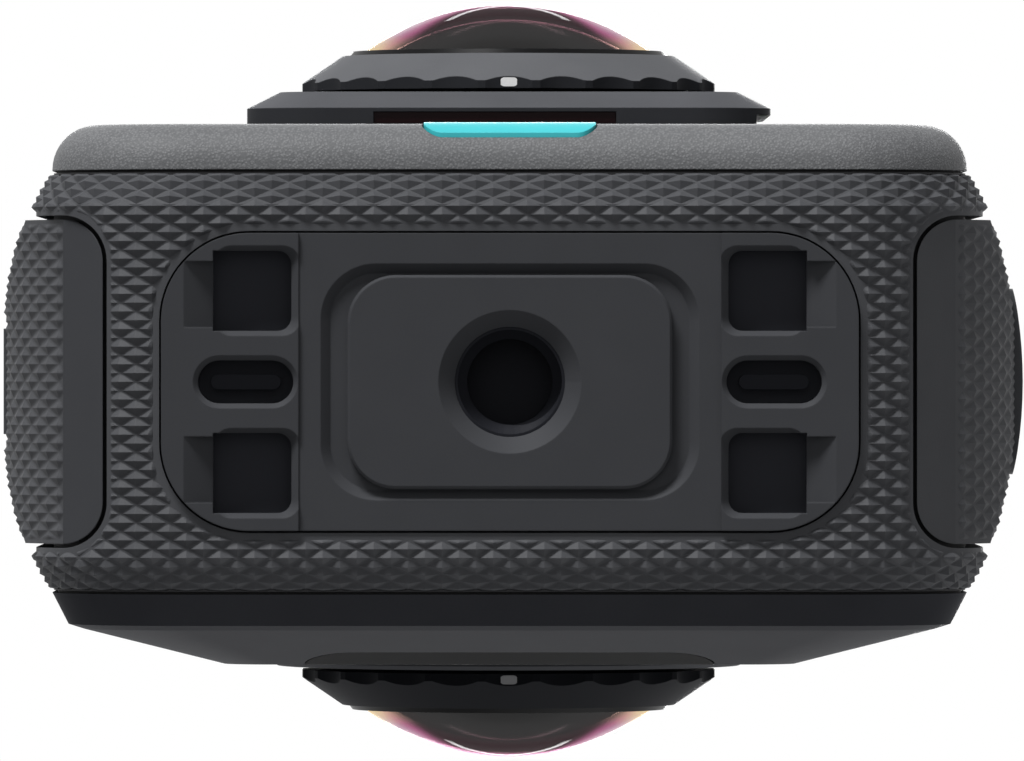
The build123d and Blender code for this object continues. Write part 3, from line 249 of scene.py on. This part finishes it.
class Finish(Nodes):
    """A finish: its colour, gloss and relief all follow the place on the object.

    Its colours are given by their screen values and its sizes in millimetres."""

    def __init__(self, name):
        self.material = bpy.data.materials.new(name)
        self.material.use_nodes = True
        super().__init__(self.material.node_tree)
        self.place = self.scaled(self.add("ShaderNodeTexCoord", None, None, "Object"), 1 / MM)

    def lens_place(self):
        """How far a place lies from the lens axis, and where it lies along that axis."""
        across, along, height = self.separate(self.place)
        return (across ** 2.0 + (height - LENS_HEIGHT) ** 2.0) ** 0.5, along

    def noise(self, size, detail=2.0, roughness=0.5, stretch=None):
        """Soft noise from 0 to 1 whose lumps are about a size across."""
        place = self.place
        if stretch:
            place = self.add("ShaderNodeMapping", None, {"Vector": place, "Scale": stretch})
        return self.add("ShaderNodeTexNoise", None, {
            "Vector": place, "Scale": 1 / size, "Detail": detail, "Roughness": roughness})

    def grained(self, size, patches=4.0):
        """A fine grain, and the mix of it with broad patches that a colour follows."""
        fine = self.noise(size, 3.0, 0.6)
        return fine, fine * FINE_SHARE + self.noise(patches) * (1 - FINE_SHARE)

    def specks(self, size):
        """Round specks that stand at 1 in their middle, one for each cell of a size."""
        distance = self.add("ShaderNodeTexVoronoi", None, {
            "Vector": self.place, "Scale": 1 / size, "Randomness": 1.0})
        return (1.0 - distance * 1.6).largest(0.0)

    def facing(self, blend=0.5):
        """0 where the surface is looked at squarely, up to 1 where one looks along it."""
        return self.add("ShaderNodeLayerWeight", None, {"Blend": blend}, "Facing")

    def between(self, factor, low, high):
        """A mix of two colours, each of them its screen values or another mix."""
        mixed = self.add("ShaderNodeMix", {"data_type": "RGBA"}, {"Factor": factor}, 2)
        node = mixed.socket.node
        for socket, colour in ((node.inputs[6], low), (node.inputs[7], high)):
            if isinstance(colour, Value):
                self.tree.links.new(colour.socket, socket)
            else:
                socket.default_value = linear(*colour)
        return mixed

    def relief(self, height, depth, normal=None):
        """A bump whose full height stands for a depth."""
        sockets = {"Height": height, "Distance": depth * MM, "Strength": 1.0}
        if normal:
            sockets["Normal"] = normal
        return self.add("ShaderNodeBump", None, sockets)

    def soft_edges(self, radius):
        """Normals that round the sharp edges over a small radius."""
        return self.add("ShaderNodeBevel", {"samples": 4}, {"Radius": radius * MM})

    def surface(self, **sockets):
        named = {name.replace("_", " "): value for name, value in sockets.items()}
        return self.add("ShaderNodeBsdfPrincipled", None, named)

    def tint(self, colour):
        """Clear glass that turns white to a colour in two faces."""
        return self.add("ShaderNodeBsdfTransparent", None, {
            "Color": tuple(channel ** 0.5 for channel in linear(*colour))})

    def done(self, shader):
        self.add("ShaderNodeOutputMaterial", None, {"Surface": shader})
        return self.material


# Finishes

def moulded(name, dark, light, grain, depth, rough, edge=0.06, shine=0.25, recess_shade=None):
    """Moulded plastic or rubber: soft colour patches, a fine grain and rounded edges.

    A recess shade colour is painted shade, which the recesses of the base panel turn to."""
    finish = Finish(name)
    fine, mix = finish.grained(grain)
    colour = finish.between(mix, dark, light)
    if recess_shade:
        # Painted shade: the base panel's recesses turn darker with their depth
        across, _, height = finish.separate(finish.place)
        in_panel = (PANEL_HALF_WIDTH - abs(across)).over(0.0)
        recess_shade_share = height.rise(RECESS_FROM, RECESS_FULL) * in_panel
        colour = finish.between(recess_shade_share, colour, recess_shade)
    smoothest, roughest = rough
    normal = finish.relief(fine, depth, finish.soft_edges(edge))
    return finish.done(finish.surface(Base_Color=colour,
                                      Roughness=smoothest + fine * (roughest - smoothest),
                                      Specular_IOR_Level=shine, Normal=normal))


def metal(name, dark, light, grain, depth, roughness, metallic=1.0, shine=0.5, stretch=None):
    """Metal with a fine grain, which stretch turns into brush lines or turning lines."""
    finish = Finish(name)
    fine = finish.noise(grain, 3.0, 0.6, stretch)
    colour = finish.between(fine * 0.6 + finish.noise(5.0) * 0.4, dark, light)
    normal = finish.relief(fine, depth, finish.soft_edges(0.05))
    return finish.done(finish.surface(Base_Color=colour, Roughness=roughness + fine * 0.12,
                                      Metallic=metallic, Specular_IOR_Level=shine,
                                      Normal=normal))


def gloss(name, dark, light, roughness, shine=0.3):
    """Smooth glossy plastic, with a trace of waviness and of handling."""
    finish = Finish(name)
    waves = finish.noise(7.0)
    haze = finish.noise(1.2, 4.0, 0.6)
    normal = finish.relief(waves, 0.004, finish.soft_edges(0.05))
    return finish.done(finish.surface(Base_Color=finish.between(waves, dark, light),
                                      Roughness=roughness + haze * 0.06,
                                      Specular_IOR_Level=shine, Normal=normal))


def cover_paint():
    """The front cover's paint: close fine specks, light on dark."""
    finish = Finish("speckled cover paint")
    specks = finish.specks(0.17)
    fine = finish.noise(0.119, roughness=0.7)
    mix = specks * 0.45 + fine * 0.4 + finish.noise(6.0) * 0.15
    normal = finish.relief(specks + fine, 0.02, finish.soft_edges(0.08))
    return finish.done(finish.surface(Base_Color=finish.between(mix, (64, 65, 67), (128, 129, 131)),
                                      Roughness=0.5 + fine * 0.15, Specular_IOR_Level=0.25,
                                      Normal=normal))


def screen_glass():
    """The black screen glass: glossy when one looks at it, dull along its surface."""
    finish = Finish("black screen glass")
    haze = finish.noise(1.2, 4.0, 0.6)
    coat = (0.5 - finish.facing() * 0.8).largest(0.0)
    return finish.done(finish.surface(Base_Color=finish.between(haze, (9, 9, 10), (14, 14, 16)),
                                      Roughness=0.2 + haze * 0.06, Coat_Weight=coat,
                                      Coat_Roughness=0.05, Specular_IOR_Level=0.001,
                                      Normal=finish.soft_edges(0.05)))


def dome_glass():
    """Clear coated glass: dark where one looks in, with a pink rim that is paler at its foot.

    The tints lie over each other in the order of the list, and the inner face has none."""
    finish = Finish("coated dome glass")
    facing = finish.facing()
    haze = finish.noise(2.0, 3.0)
    off_axis, along = finish.lens_place()
    from_centre = (off_axis ** 2.0 + (abs(along) - (DOME_APEX - DOME_RADIUS)) ** 2.0) ** 0.5
    outer = from_centre.over(DOME_RADIUS - DOME_MARGIN)
    # How far the place lies to the side of a look through the dome's middle
    aside = (off_axis ** 2.0 - ((1.0 - facing) * DOME_RADIUS) ** 2.0).largest(0.0) ** 0.5
    flank = aside.rise(3.0, 6.0)
    look = facing + haze * 0.01
    pink_from = 0.8 - flank * 0.16
    dark = look.rise(0.45, 0.63)
    pink = look.rise(pink_from, pink_from + 0.1)
    pale = look.rise(0.86 - flank * 0.12, 0.97 - flank * 0.04)
    warm_foot = off_axis.rise(7.6, 9.1) * facing.rise(0.55, 0.8)
    seen = finish.tint((190, 186, 184))
    for share, colour in ((dark, (52, 32, 37)), (pink, (180, 100, 140)), (pale, (255, 248, 250)),
                          (warm_foot, (255, 226, 176)), (1.0 - outer, (255, 255, 255))):
        seen = finish.blend(share, seen, finish.tint(colour))
    shine = finish.surface(Base_Color=linear(14, 13, 13), Roughness=0.03 + haze * 0.02,
                           Specular_IOR_Level=0.16)
    clear = 0.25 + (facing.rise(0.5, 0.7) * 0.6 + facing.rise(0.86, 0.96) * 0.13)
    return finish.done(finish.blend(clear * outer + (1.0 - outer), shine, seen))


def lens_glass():
    """The coated glass of the fisheye lens: near black, with a faint warm painted sheen that
    lightens its colour where one looks along it.
    """
    finish = Finish("coated lens glass")
    ripple = finish.noise(3.0)
    # Painted sheen: the colour turns lighter and warmer toward grazing views
    colour = finish.between(finish.facing(0.4) + ripple * 0.1, (18, 17, 16), (38, 33, 31))
    return finish.done(finish.surface(Base_Color=colour, Roughness=0.12 + ripple * 0.04,
                                      Specular_IOR_Level=0.1))


def ring_metal():
    """The anodised lens rings: the front one's turned cone is painted much lighter than its band,
    as painted light and shade, and the rear ring is painted dark as shade.
    """
    finish = Finish("anodised ring")
    off_axis, along = finish.lens_place()
    in_rear_shade = along.over(0.0)
    past_shoulder = abs(along) - RING_SHOULDER
    off_cone = abs(off_axis - (RING_RADIUS - past_shoulder * RING_SLOPE))
    on_cone = (CONE_MARGIN - off_cone).over(0.0) * past_shoulder.over(0.01)
    fine, mix = finish.grained(0.1)
    # Painted light and shade: the front band is coloured as shaded and the front cone as lit
    front_band_shade = finish.between(mix, (34, 35, 38), (46, 47, 50))
    front_cone_lit = finish.between(mix, (78, 79, 82), (96, 97, 100))
    # Painted shade: the rear ring's band and cone take darker colours
    band = finish.between(in_rear_shade, front_band_shade, (26, 27, 30))
    cone = finish.between(in_rear_shade, front_cone_lit, (30, 31, 34))
    normal = finish.relief(fine, 0.006, finish.soft_edges(0.05))
    return finish.done(finish.surface(Base_Color=finish.between(on_cone, band, cone),
                                      Roughness=0.5 + fine * 0.12, Specular_IOR_Level=0.02,
                                      Normal=normal))


def mount_plastic():
    """The lens mounts: the low wall next to the cover is painted darker than the chamfer above it,
    as painted shade.
    """
    finish = Finish("lens mount plastic")
    _, along, _ = finish.separate(finish.place)
    fine, mix = finish.grained(0.1)
    # Painted shade: the low wall of the mount takes a darker colour
    wall_shade = (MOUNT_WALL_DEPTH - abs(along)).rise(0.0, 0.05)
    colour = finish.between(wall_shade, finish.between(mix, (66, 67, 70), (84, 85, 89)), (46, 47, 50))
    normal = finish.relief(fine, 0.008, finish.soft_edges(0.06))
    return finish.done(finish.surface(Base_Color=colour, Roughness=0.5 + fine * 0.12,
                                      Specular_IOR_Level=0.03, Normal=normal))


def mark_paint():
    """The paint of the two index marks: near white in front, and painted grey at the rear as
    painted shade.
    """
    finish = Finish("index mark paint")
    _, along, _ = finish.separate(finish.place)
    fine = finish.noise(0.2)
    front = finish.between(fine, (214, 214, 214), (232, 232, 232))
    # Painted shade: the rear mark's paint is greyer than the front one's
    return finish.done(finish.surface(
        Base_Color=finish.between(along.over(0.0), front, (150, 150, 152)),
        Roughness=0.45 + fine * 0.1, Normal=finish.relief(fine, 0.003)))


def board():
    """A circuit board: dark green mask with fine tracks."""
    finish = Finish("circuit board mask")
    tracks = finish.add("ShaderNodeTexBrick", None, {
        "Vector": finish.place, "Scale": 0.8, "Mortar Size": 0.03}, "Fac")
    fine = finish.noise(0.3)
    colour = finish.between(tracks * 0.6 + fine * 0.2, (20, 58, 42), (66, 110, 78))
    return finish.done(finish.surface(Base_Color=colour, Roughness=0.35 + fine * 0.1,
                                      Normal=finish.relief(tracks, 0.03)))


def all_finishes():
    """The finish of each material slot."""
    return {
        "grip_rubber": moulded("grip rubber", (58, 59, 62), (78, 79, 82), grain=0.09,
                               depth=0.012, rough=(0.46, 0.66), shine=0.12),
        "seal_rubber": moulded("seal rubber", (8, 8, 9), (16, 16, 17), grain=0.15,
                               depth=0.01, rough=(0.7, 0.85)),
        "cover_plastic": cover_paint(),
        "rear_plastic": moulded("rear cover plastic", (46, 47, 51), (58, 59, 63), grain=0.12,
                                depth=0.006, rough=(0.5, 0.62), shine=0.01),
        # The base panel's recess colour is painted shade in its pockets, slots and moat
        "panel_plastic": moulded("base panel plastic", (57, 58, 61), (65, 66, 69), grain=0.14,
                                 depth=0.004, rough=(0.54, 0.64), edge=0.12, shine=0.05,
                                 recess_shade=(48, 49, 54)),
        "frame_plastic": moulded("frame plastic", (30, 30, 32), (42, 42, 44), grain=0.2,
                                 depth=0.01, rough=(0.6, 0.75)),
        "button_plastic": moulded("button plastic", (62, 63, 66), (76, 77, 80), grain=0.12,
                                  depth=0.005, rough=(0.35, 0.5)),
        "mount_plastic": mount_plastic(),
        "ring_metal": ring_metal(),
        "mark_paint": mark_paint(),
        "bezel_plastic": gloss("bezel plastic", (9, 9, 10), (15, 15, 16), roughness=0.3,
                               shine=0.06),
        "dome_glass": dome_glass(),
        "lens_glass": lens_glass(),
        "barrel_metal": moulded("black barrel metal", (12, 12, 13), (22, 22, 23), grain=0.15,
                                depth=0.006, rough=(0.6, 0.7)),
        "board": board(),
        "bare_aluminium": metal("bare aluminium", (170, 171, 173), (205, 206, 208), grain=0.25,
                                depth=0.006, roughness=0.3, stretch=(1.0, 1.0, 12.0)),
        "steel": metal("turned steel", (96, 97, 100), (140, 141, 144), grain=0.2,
                       depth=0.006, roughness=0.3, stretch=(1.0, 1.0, 10.0)),
        # Painted shade: the insert and its thread take a near black colour that stands for the
        # shade inside the tripod hole
        "dark_steel": metal("blackened steel", (27, 28, 32), (35, 36, 41), grain=0.2,
                            depth=0.006, roughness=0.45, metallic=0.0, shine=0.04),
        "contact_metal": metal("gold plated contact", (186, 142, 70), (214, 174, 98), grain=0.2,
                               depth=0.004, roughness=0.25),
        "battery_case": moulded("battery case", (40, 40, 42), (52, 52, 54), grain=0.18,
                                depth=0.008, rough=(0.45, 0.6)),
        "card_plastic": moulded("card plastic", (26, 26, 28), (38, 38, 40), grain=0.15,
                                depth=0.005, rough=(0.35, 0.5)),
        "screen_glass": screen_glass(),
        "display": gloss("dark display", (8, 8, 12), (18, 18, 24), roughness=0.15),
        "window_plastic": gloss("tinted window", (12, 6, 7), (30, 8, 12), roughness=0.25,
                                shine=0.05),
        "accent_plastic": gloss("teal accent plastic", (48, 170, 178), (62, 186, 192),
                                roughness=0.4),
    }


def dress_cad_nodes(finishes):
    """Gives each solid the finish of its slot."""
    for part in frame["record"]["subparts"]:
        mesh = nodes[part["node"]].data
        mesh.materials.clear()
        mesh.materials.append(finishes[part["material_slot"]])


# Repeated shapes made with Geometry Nodes

FLOAT, WHOLE, OBJECT = "NodeSocketFloat", "NodeSocketInt", "NodeSocketObject"


class Shape(Nodes):
    """A tree that makes one repeated shape, with named inputs for its sizes."""

    def __init__(self, name, inputs):
        super().__init__(bpy.data.node_groups.new(name, "GeometryNodeTree"))
        self.tree.interface.new_socket("Geometry", in_out="OUTPUT",
                                       socket_type="NodeSocketGeometry")
        self.defaults = {}
        for label, (kind, value) in inputs.items():
            socket = self.tree.interface.new_socket(label, in_out="INPUT", socket_type=kind)
            self.defaults[socket.identifier] = value
        self.group_input = self.tree.nodes.new("NodeGroupInput")

    def given(self, label):
        return Value(self, self.group_input.outputs[label])

    def position(self):
        """The X, Y and Z of each point."""
        return self.separate(self.add("GeometryNodeInputPosition"))

    def joined(self, pieces):
        """Several geometries as one."""
        join = self.tree.nodes.new("GeometryNodeJoinGeometry")
        for piece in pieces:
            self.tree.links.new(piece.socket, join.inputs[0])
        return Value(self, join.outputs[0])

    def merged(self, geometry):
        return self.add("GeometryNodeMergeByDistance", None, {
            "Geometry": geometry, "Distance": MERGE_WITHIN})

    def flipped(self, geometry):
        """The same faces with their outsides swapped, after a mirrored layout."""
        return self.add("GeometryNodeFlipFaces", None, {"Mesh": geometry})

    def finish(self, geometry, material):
        real = self.add("GeometryNodeRealizeInstances", None, {"Geometry": geometry})
        dressed = self.add("GeometryNodeSetMaterial", None, {
            "Geometry": real, "Material": material})
        self.add("NodeGroupOutput", None, {"Geometry": dressed})

    def piece(self, name, body, slot):
        """Runs the tree once and keeps its result as a plain mesh that rides on a body."""
        carrier = bpy.data.objects.new(name, bpy.data.meshes.new(name + "_start"))
        bpy.context.scene.collection.objects.link(carrier)
        modifier = carrier.modifiers.new("make", "NODES")
        modifier.node_group = self.tree
        for identifier, value in self.defaults.items():
            modifier[identifier] = value
        bpy.context.view_layer.update()
        made = carrier.evaluated_get(bpy.context.evaluated_depsgraph_get())
        mesh = bpy.data.meshes.new_from_object(made)
        carrier.modifiers.remove(modifier)
        mesh.name = name
        carrier.data = mesh
        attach(carrier, body)
        return carrier


def diamond_points(shape):
    """The middles of staggered rows of diamonds, which run along X and follow each other in Y."""
    length = shape.given("Cell length")
    width = shape.given("Cell width")
    rows = shape.given("Rows")
    columns = shape.given("Columns")
    grid = shape.add("GeometryNodeMeshGrid", None, {
        "Size X": length * (columns - 1.0), "Size Y": width * 0.5 * (rows - 1.0),
        "Vertices X": columns, "Vertices Y": rows})
    odd_row = (shape.add("GeometryNodeInputIndex") % rows) % 2.0
    offset = shape.combine(odd_row * length * 0.5 + shape.given("Start"), 0.0, 0.0)
    return shape.add("GeometryNodeSetPosition", None, {"Geometry": grid, "Offset": offset})


def keep_clear(along, across, opening):
    """Moves a point out of an opening to the rim round it; also its gap to that rim."""
    low, high, half, low_round, high_round, rim = [size * MM for size in opening]
    if not low_round:
        return keep_clear_square(along, across, (low + high) / 2, (high - low) / 2, half, rim)
    radius = high_round + ((low + high) / 2 - along).over(0.0) * (low_round - high_round)
    core_along = along.largest(low + radius).smallest(high - radius)
    core_across = across.largest(radius - half).smallest(half - radius)
    step_along = along - core_along
    step_across = across - core_across
    reach = ((step_along ** 2.0 + step_across ** 2.0) ** 0.5).largest(LEAST_DISTANCE)
    push = reach.largest(radius + rim) / reach
    return core_along + step_along * push, core_across + step_across * push, reach - radius - rim


def keep_clear_square(along, across, middle, half_length, half, rim):
    """The same for an opening with sharp corners: the point moves along one axis only."""
    offset = along - middle
    past_along = abs(offset) - half_length
    past_across = abs(across) - half
    gap = past_along.largest(past_across) - rim
    step = (-gap).largest(0.0)
    lengthwise = past_along.over(past_across)
    moved = along + offset.sign() * step * lengthwise
    return moved, across + across.sign() * step * (1.0 - lengthwise), gap


def band_edges(along, across):
    """Keeps a point of the band's sheet off its openings and its two rims; also its gap to them."""
    side = along.sign()
    along, across, panel_gap = keep_clear(abs(along), across, PANEL_OPENING)
    along, across, side_gap = keep_clear(along, across, SIDE_OPENING)
    from_top, across, shutter_gap = keep_clear(HALF_PERIMETER * MM - along, across,
                                               SHUTTER_OPENING)
    along = (HALF_PERIMETER * MM - from_top) * side
    limit = (BAND_CORE + BEVEL_SLOPE - BAND_RIM_GAP) * MM
    rim_gap = limit - abs(across)
    across = across.largest(-limit).smallest(limit)
    return along, across, panel_gap.smallest(side_gap).smallest(shutter_gap).smallest(rim_gap)


def side_edges(opening, reach):
    """The same for the door's skin and the side pad, which have one opening each."""
    low, high = [height * MM for height in reach]
    half = SIDE_HALF_WIDTH * MM

    def edges(along, across):
        along, across, gap = keep_clear(along, across, opening)
        rim_gap = (half - abs(across)).smallest(along - low).smallest(high - along)
        along = along.largest(low).smallest(high)
        across = across.largest(-half).smallest(half)
        return along, across, gap.smallest(rim_gap)
    return edges


def round_the_body(shape, along, across):
    """The place and the outward direction of a sheet's point on the band."""
    quad = shape.add("GeometryNodeCurvePrimitiveQuadrilateral", None, {
        "Width": BODY_WIDTH * MM, "Height": (BODY_TOP - BODY_LOW) * MM})
    outline = shape.add("GeometryNodeFilletCurve", {"mode": "POLY"}, {
        "Curve": quad, "Radius": BODY_CORNER * MM, "Count": 24})
    # From the outline's start, at an upper corner, over the top and round to the bottom's middle
    to_bottom = HALF_PERIMETER + BODY_WIDTH / 2 + (pi / 2 - 1) * BODY_CORNER
    length = (along + to_bottom * MM) % (2 * HALF_PERIMETER * MM)
    sampled = shape.add("GeometryNodeSampleCurve", {"mode": "LENGTH"}, {
        "Curves": outline, "Length": length}, "Position")
    flat_x, flat_z, _ = shape.separate(sampled)
    turn_x, turn_z, _ = shape.separate(shape.other_output(sampled, "Tangent"))
    past = (abs(across) - BAND_CORE * MM).largest(0.0)
    on_bevel = past.over(0.0)
    depth = across.sign() * (abs(across) - past * (1 - BEVEL_DEPTH / BEVEL_SLOPE))
    inset = past * (BEVEL_INSET / BEVEL_SLOPE)
    tilt = on_bevel * (BEVEL_INSET / BEVEL_SLOPE) * across.sign()
    lean = 1.0 - on_bevel * (1 - BEVEL_DEPTH / BEVEL_SLOPE)
    centre_z = (BODY_TOP + BODY_LOW) / 2 * MM
    foot = shape.combine(flat_x - turn_z * inset, depth, flat_z + centre_z + turn_x * inset)
    return foot, shape.combine(turn_z * lean, tilt, -turn_x * lean)


def on_the_side(side, sink):
    """The same on the door's skin (-1) or the side pad (1), found by a ray along X."""
    def wrap(shape, along, across):
        start = shape.combine(side * RAY_START * MM, across, along)
        foot = shape.add("GeometryNodeRaycast", None, {
            "Target Geometry": solid_node(shape, sink), "Source Position": start,
            "Ray Direction": (-side, 0.0, 0.0), "Ray Length": RAY_LENGTH * MM}, "Hit Position")
        return foot, shape.other_output(foot, "Hit Normal")
    return wrap


def solid_node(shape, sink):
    """The mesh of the solid node that a tree was given, moved along X."""
    surface = shape.add("GeometryNodeObjectInfo", {"transform_space": "ORIGINAL"},
                        {"Object": shape.given("Surface")}, "Geometry")
    return shape.add("GeometryNodeTransform", None, {
        "Geometry": surface, "Translation": (sink * MM, 0.0, 0.0)})


def raised_diamonds(shape, edges, wrap):
    """Pyramids on the sheet's points: finer ones near a rim, where they sink to nothing."""
    points = diamond_points(shape)
    along, across, _ = shape.position()
    _, _, gap = edges(along, across)
    left_out = (-LEFT_OUT_PAST * MM - gap).over(0.0)
    points = shape.add("GeometryNodeDeleteGeometry", {"domain": "POINT", "mode": "ALL"},
                       {"Geometry": points, "Selection": left_out})
    near = (FINE_WITHIN * MM - gap).over(0.0)
    by_rim = shape.add("GeometryNodeSeparateGeometry", {"domain": "POINT"},
                       {"Geometry": points, "Selection": near})
    plain = shape.add("GeometryNodeMeshCone", {"fill_type": "NGON"}, {
        "Vertices": 4, "Side Segments": 1, "Radius Top": 0.0, "Radius Bottom": FOOT_SHARE,
        "Depth": 1.0})
    fine = shape.add("GeometryNodeSubdivideMesh", None, {"Mesh": plain, "Level": 2})
    size = shape.combine(shape.given("Cell length") * 0.5, shape.given("Cell width") * 0.5,
                         shape.given("Height"))
    cells = [shape.add("GeometryNodeInstanceOnPoints", None, {
        "Points": where, "Instance": pyramid, "Scale": size})
        for where, pyramid in ((by_rim, fine), (shape.other_output(by_rim, "Inverted"), plain))]
    sheet = shape.add("GeometryNodeRealizeInstances", None, {"Geometry": shape.joined(cells)})
    along, across, height = shape.position()
    along, across, gap = edges(along, across)
    share = gap.rise(0.0, shape.given("Ramp"))
    foot, normal = wrap(shape, along, across)
    lift = shape.scaled(normal, height * share - DIAMOND_SINK * MM)
    return shape.add("GeometryNodeSetPosition", None, {
        "Geometry": sheet, "Position": shape.moved(foot, lift)})


def diamond_tree(name, columns, rows, start, height, surface=None):
    """The tree of a sheet of diamonds, with the solid node that it lies on where it needs one."""
    inputs = {
        "Cell length": (FLOAT, CELL_LENGTH * MM),
        "Cell width": (FLOAT, CELL_WIDTH * MM),
        "Height": (FLOAT, height * MM),
        "Ramp": (FLOAT, RIM_RAMP * MM),
        "Columns": (WHOLE, columns),
        "Rows": (WHOLE, rows),
        "Start": (FLOAT, start * MM),
    }
    if surface:
        inputs["Surface"] = (OBJECT, nodes[surface])
    return Shape(name + " tree", inputs)


def make_grip(rubber):
    """The diamonds of the band and the pad, and the door's skin with its own diamonds."""
    band = diamond_tree("band_diamonds", BAND_COLUMNS, BAND_ROWS, start=0.0, height=BAND_DIAMOND)
    band.finish(band.flipped(raised_diamonds(band, band_edges, round_the_body)), rubber)
    band.piece("band_diamonds", "root", "grip_rubber")

    pad = diamond_tree("pad_diamonds", SIDE_COLUMNS, SIDE_ROWS, start=28.0, height=SIDE_DIAMOND,
                       surface="side_pad")
    grip = raised_diamonds(pad, side_edges(BUTTON_OPENING, PAD_REACH), on_the_side(1, sink=0.0))
    pad.finish(pad.flipped(grip), rubber)
    pad.piece("pad_diamonds", "root", "grip_rubber")

    door = diamond_tree("door_grip_skin", SIDE_COLUMNS, SIDE_ROWS, start=27.0, height=SIDE_DIAMOND,
                        surface="door_skin")
    grip = raised_diamonds(door, side_edges(LATCH_OPENING, SKIN_REACH),
                           on_the_side(-1, sink=SKIN_SINK))
    skin = door.add("GeometryNodeSetShadeSmooth", None, {
        "Geometry": door.merged(solid_node(door, SKIN_SINK)), "Shade Smooth": False})
    door.finish(door.joined([skin, grip]), rubber)
    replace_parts(door.piece("door_grip_skin", "side_door", "grip_rubber"), "door_skin")


def make_thread(steel):
    """The screw thread in the tripod socket: one right-handed ridge of triangular section.

    It grows out of the bore and sinks back into it over its first and last steps. Its section
    reaches a share of the pitch to each side of its crest."""
    turns = 3.4
    steps = 190
    fade_steps = 14.0
    reach = 0.4
    shape = Shape("tripod_thread tree", {
        "Pitch": (FLOAT, 1.27 * MM),
        "Depth": (FLOAT, 0.6 * MM),
        "Bore": (FLOAT, 3.23 * MM),
        "Start": (FLOAT, 1.5 * MM),
    })
    pitch = shape.given("Pitch")
    grid = shape.add("GeometryNodeMeshGrid", None, {
        "Size X": 1.0, "Size Y": 1.0, "Vertices X": steps, "Vertices Y": 4})
    index = shape.add("GeometryNodeInputIndex")
    corner = (index % 4.0) % 3.0
    step = (index / 4.0).floor()
    angle = step * (turns * 2 * pi / (steps - 1))
    fade = (step.smallest(steps - 1 - step) / fade_steps).smallest(1.0)
    crest = 1.0 - abs(corner - 1.0)
    radius = shape.given("Bore") - crest * fade * shape.given("Depth")
    climb = shape.given("Start") + angle / (2 * pi) * pitch
    height = climb + (corner - 1.0) * fade * reach * pitch
    place = shape.combine(radius * angle.cosine(), radius * angle.sine(), height)
    ridge = shape.add("GeometryNodeSetPosition", None, {"Geometry": grid, "Position": place})
    shape.finish(shape.flipped(shape.merged(ridge)), steel)
    shape.piece("tripod_thread_ridge", "root", "dark_steel")


# Stage, light and camera

def make_floor():
    """A pale floor that is seen from above only and keeps the object's shadow."""
    mesh = bpy.data.meshes.new("floor")
    half = 1.5
    low = -0.0002
    mesh.from_pydata([(-half, -half, low), (half, -half, low), (half, half, low),
                      (-half, half, low)], [], [(0, 1, 2, 3)])
    floor = bpy.data.objects.new("floor", mesh)
    bpy.context.scene.collection.objects.link(floor)
    finish = Finish("pale floor")
    looked_at = finish.add("ShaderNodeLightPath", None, None, "Is Camera Ray")
    from_below = finish.add("ShaderNodeNewGeometry", None, None, "Backfacing")
    clear = finish.add("ShaderNodeBsdfTransparent")
    matt = finish.surface(Base_Color=0.93 + finish.noise(40.0) * 0.03, Roughness=0.9)
    mesh.materials.append(finish.done(finish.blend(looked_at * (1.0 - from_below), clear, matt)))


def make_world():
    """White where it is looked at, also in gloss and through glass, and a plain grey as light."""
    world = bpy.data.worlds.new("white room")
    world.use_nodes = True
    bpy.context.scene.world = world
    room = Nodes(world.node_tree)
    camera = room.add("ShaderNodeLightPath", None, None, "Is Camera Ray")
    glossy = room.other_output(camera, "Is Glossy Ray")
    through = room.other_output(camera, "Is Transmission Ray")
    light, white = [room.add("ShaderNodeBackground", None, {
        "Color": (1.0, 1.0, 1.0, 1.0), "Strength": strength}) for strength in (WORLD_LIGHT, 1.0)]
    seen = room.blend(camera.largest(glossy).largest(through), light, white)
    room.add("ShaderNodeOutputWorld", None, {"Surface": seen})


def make_lamp(name, place, target, size, power, roll=0.0):
    """An oblong lamp that faces a target, turned about its own axis by a roll in degrees."""
    lamp = bpy.data.lights.new(name, "AREA")
    lamp.shape = "RECTANGLE"
    lamp.size, lamp.size_y = size
    lamp.energy = power
    holder = bpy.data.objects.new(name, lamp)
    bpy.context.scene.collection.objects.link(holder)
    holder.location = place
    aim = Vector(target) - Vector(place)
    holder.rotation_euler = aim.to_track_quat("-Z", "Y").to_euler()
    holder.rotation_euler.rotate_axis("Z", radians(roll))


def make_lamps():
    """Four soft lamps for the whole object, and two strips of light over each dome."""
    middle = (0.0, 0.0, 0.035)
    make_lamp("front_soft_lamp", (-0.34, -1.0, -0.36), middle, size=(0.4, 0.25), power=17.0)
    make_lamp("low_fill_lamp", (0.0, -0.3, -1.2), middle, size=(0.8, 0.8), power=1.8)
    make_lamp("top_lamp", (0.1, -0.1, 1.3), middle, size=(0.5, 0.4), power=12.0)
    make_lamp("back_soft_lamp", (0.35, 1.1, 0.06), middle, size=(1.1, 0.6), power=3.8)
    for side, end in ((-1, "front"), (1, "rear")):
        dome = (0.0, side * 0.024, LENS_HEIGHT * MM)
        for hand, flank in ((-1, "left"), (1, "right")):
            make_lamp(f"{end}_{flank}_strip_lamp", (hand * 0.07, side * 0.42, 0.96), dome,
                      size=(0.31, 0.02), power=0.35, roll=side * hand * STRIP_ROLL)


def make_camera():
    """Straight below the object, looking up; the picture's top is the object's front."""
    camera = bpy.data.cameras.new("camera")
    camera.sensor_width = 36.0
    camera.lens = 459.1
    camera.shift_x = 0.0291
    camera.shift_y = -0.0257
    camera.clip_start = 0.05
    camera.clip_end = 20.0
    holder = bpy.data.objects.new("camera", camera)
    bpy.context.scene.collection.objects.link(holder)
    holder.location = (-0.0017, -0.0017, -0.8)
    holder.rotation_euler = (pi, 0.0, 0.0)
    bpy.context.scene.camera = holder


finishes = all_finishes()
dress_cad_nodes(finishes)
make_grip(finishes["grip_rubber"])
make_thread(finishes["dark_steel"])
make_floor()
make_world()
make_lamps()
make_camera()
bpy.context.scene.view_settings.view_transform = "Standard"
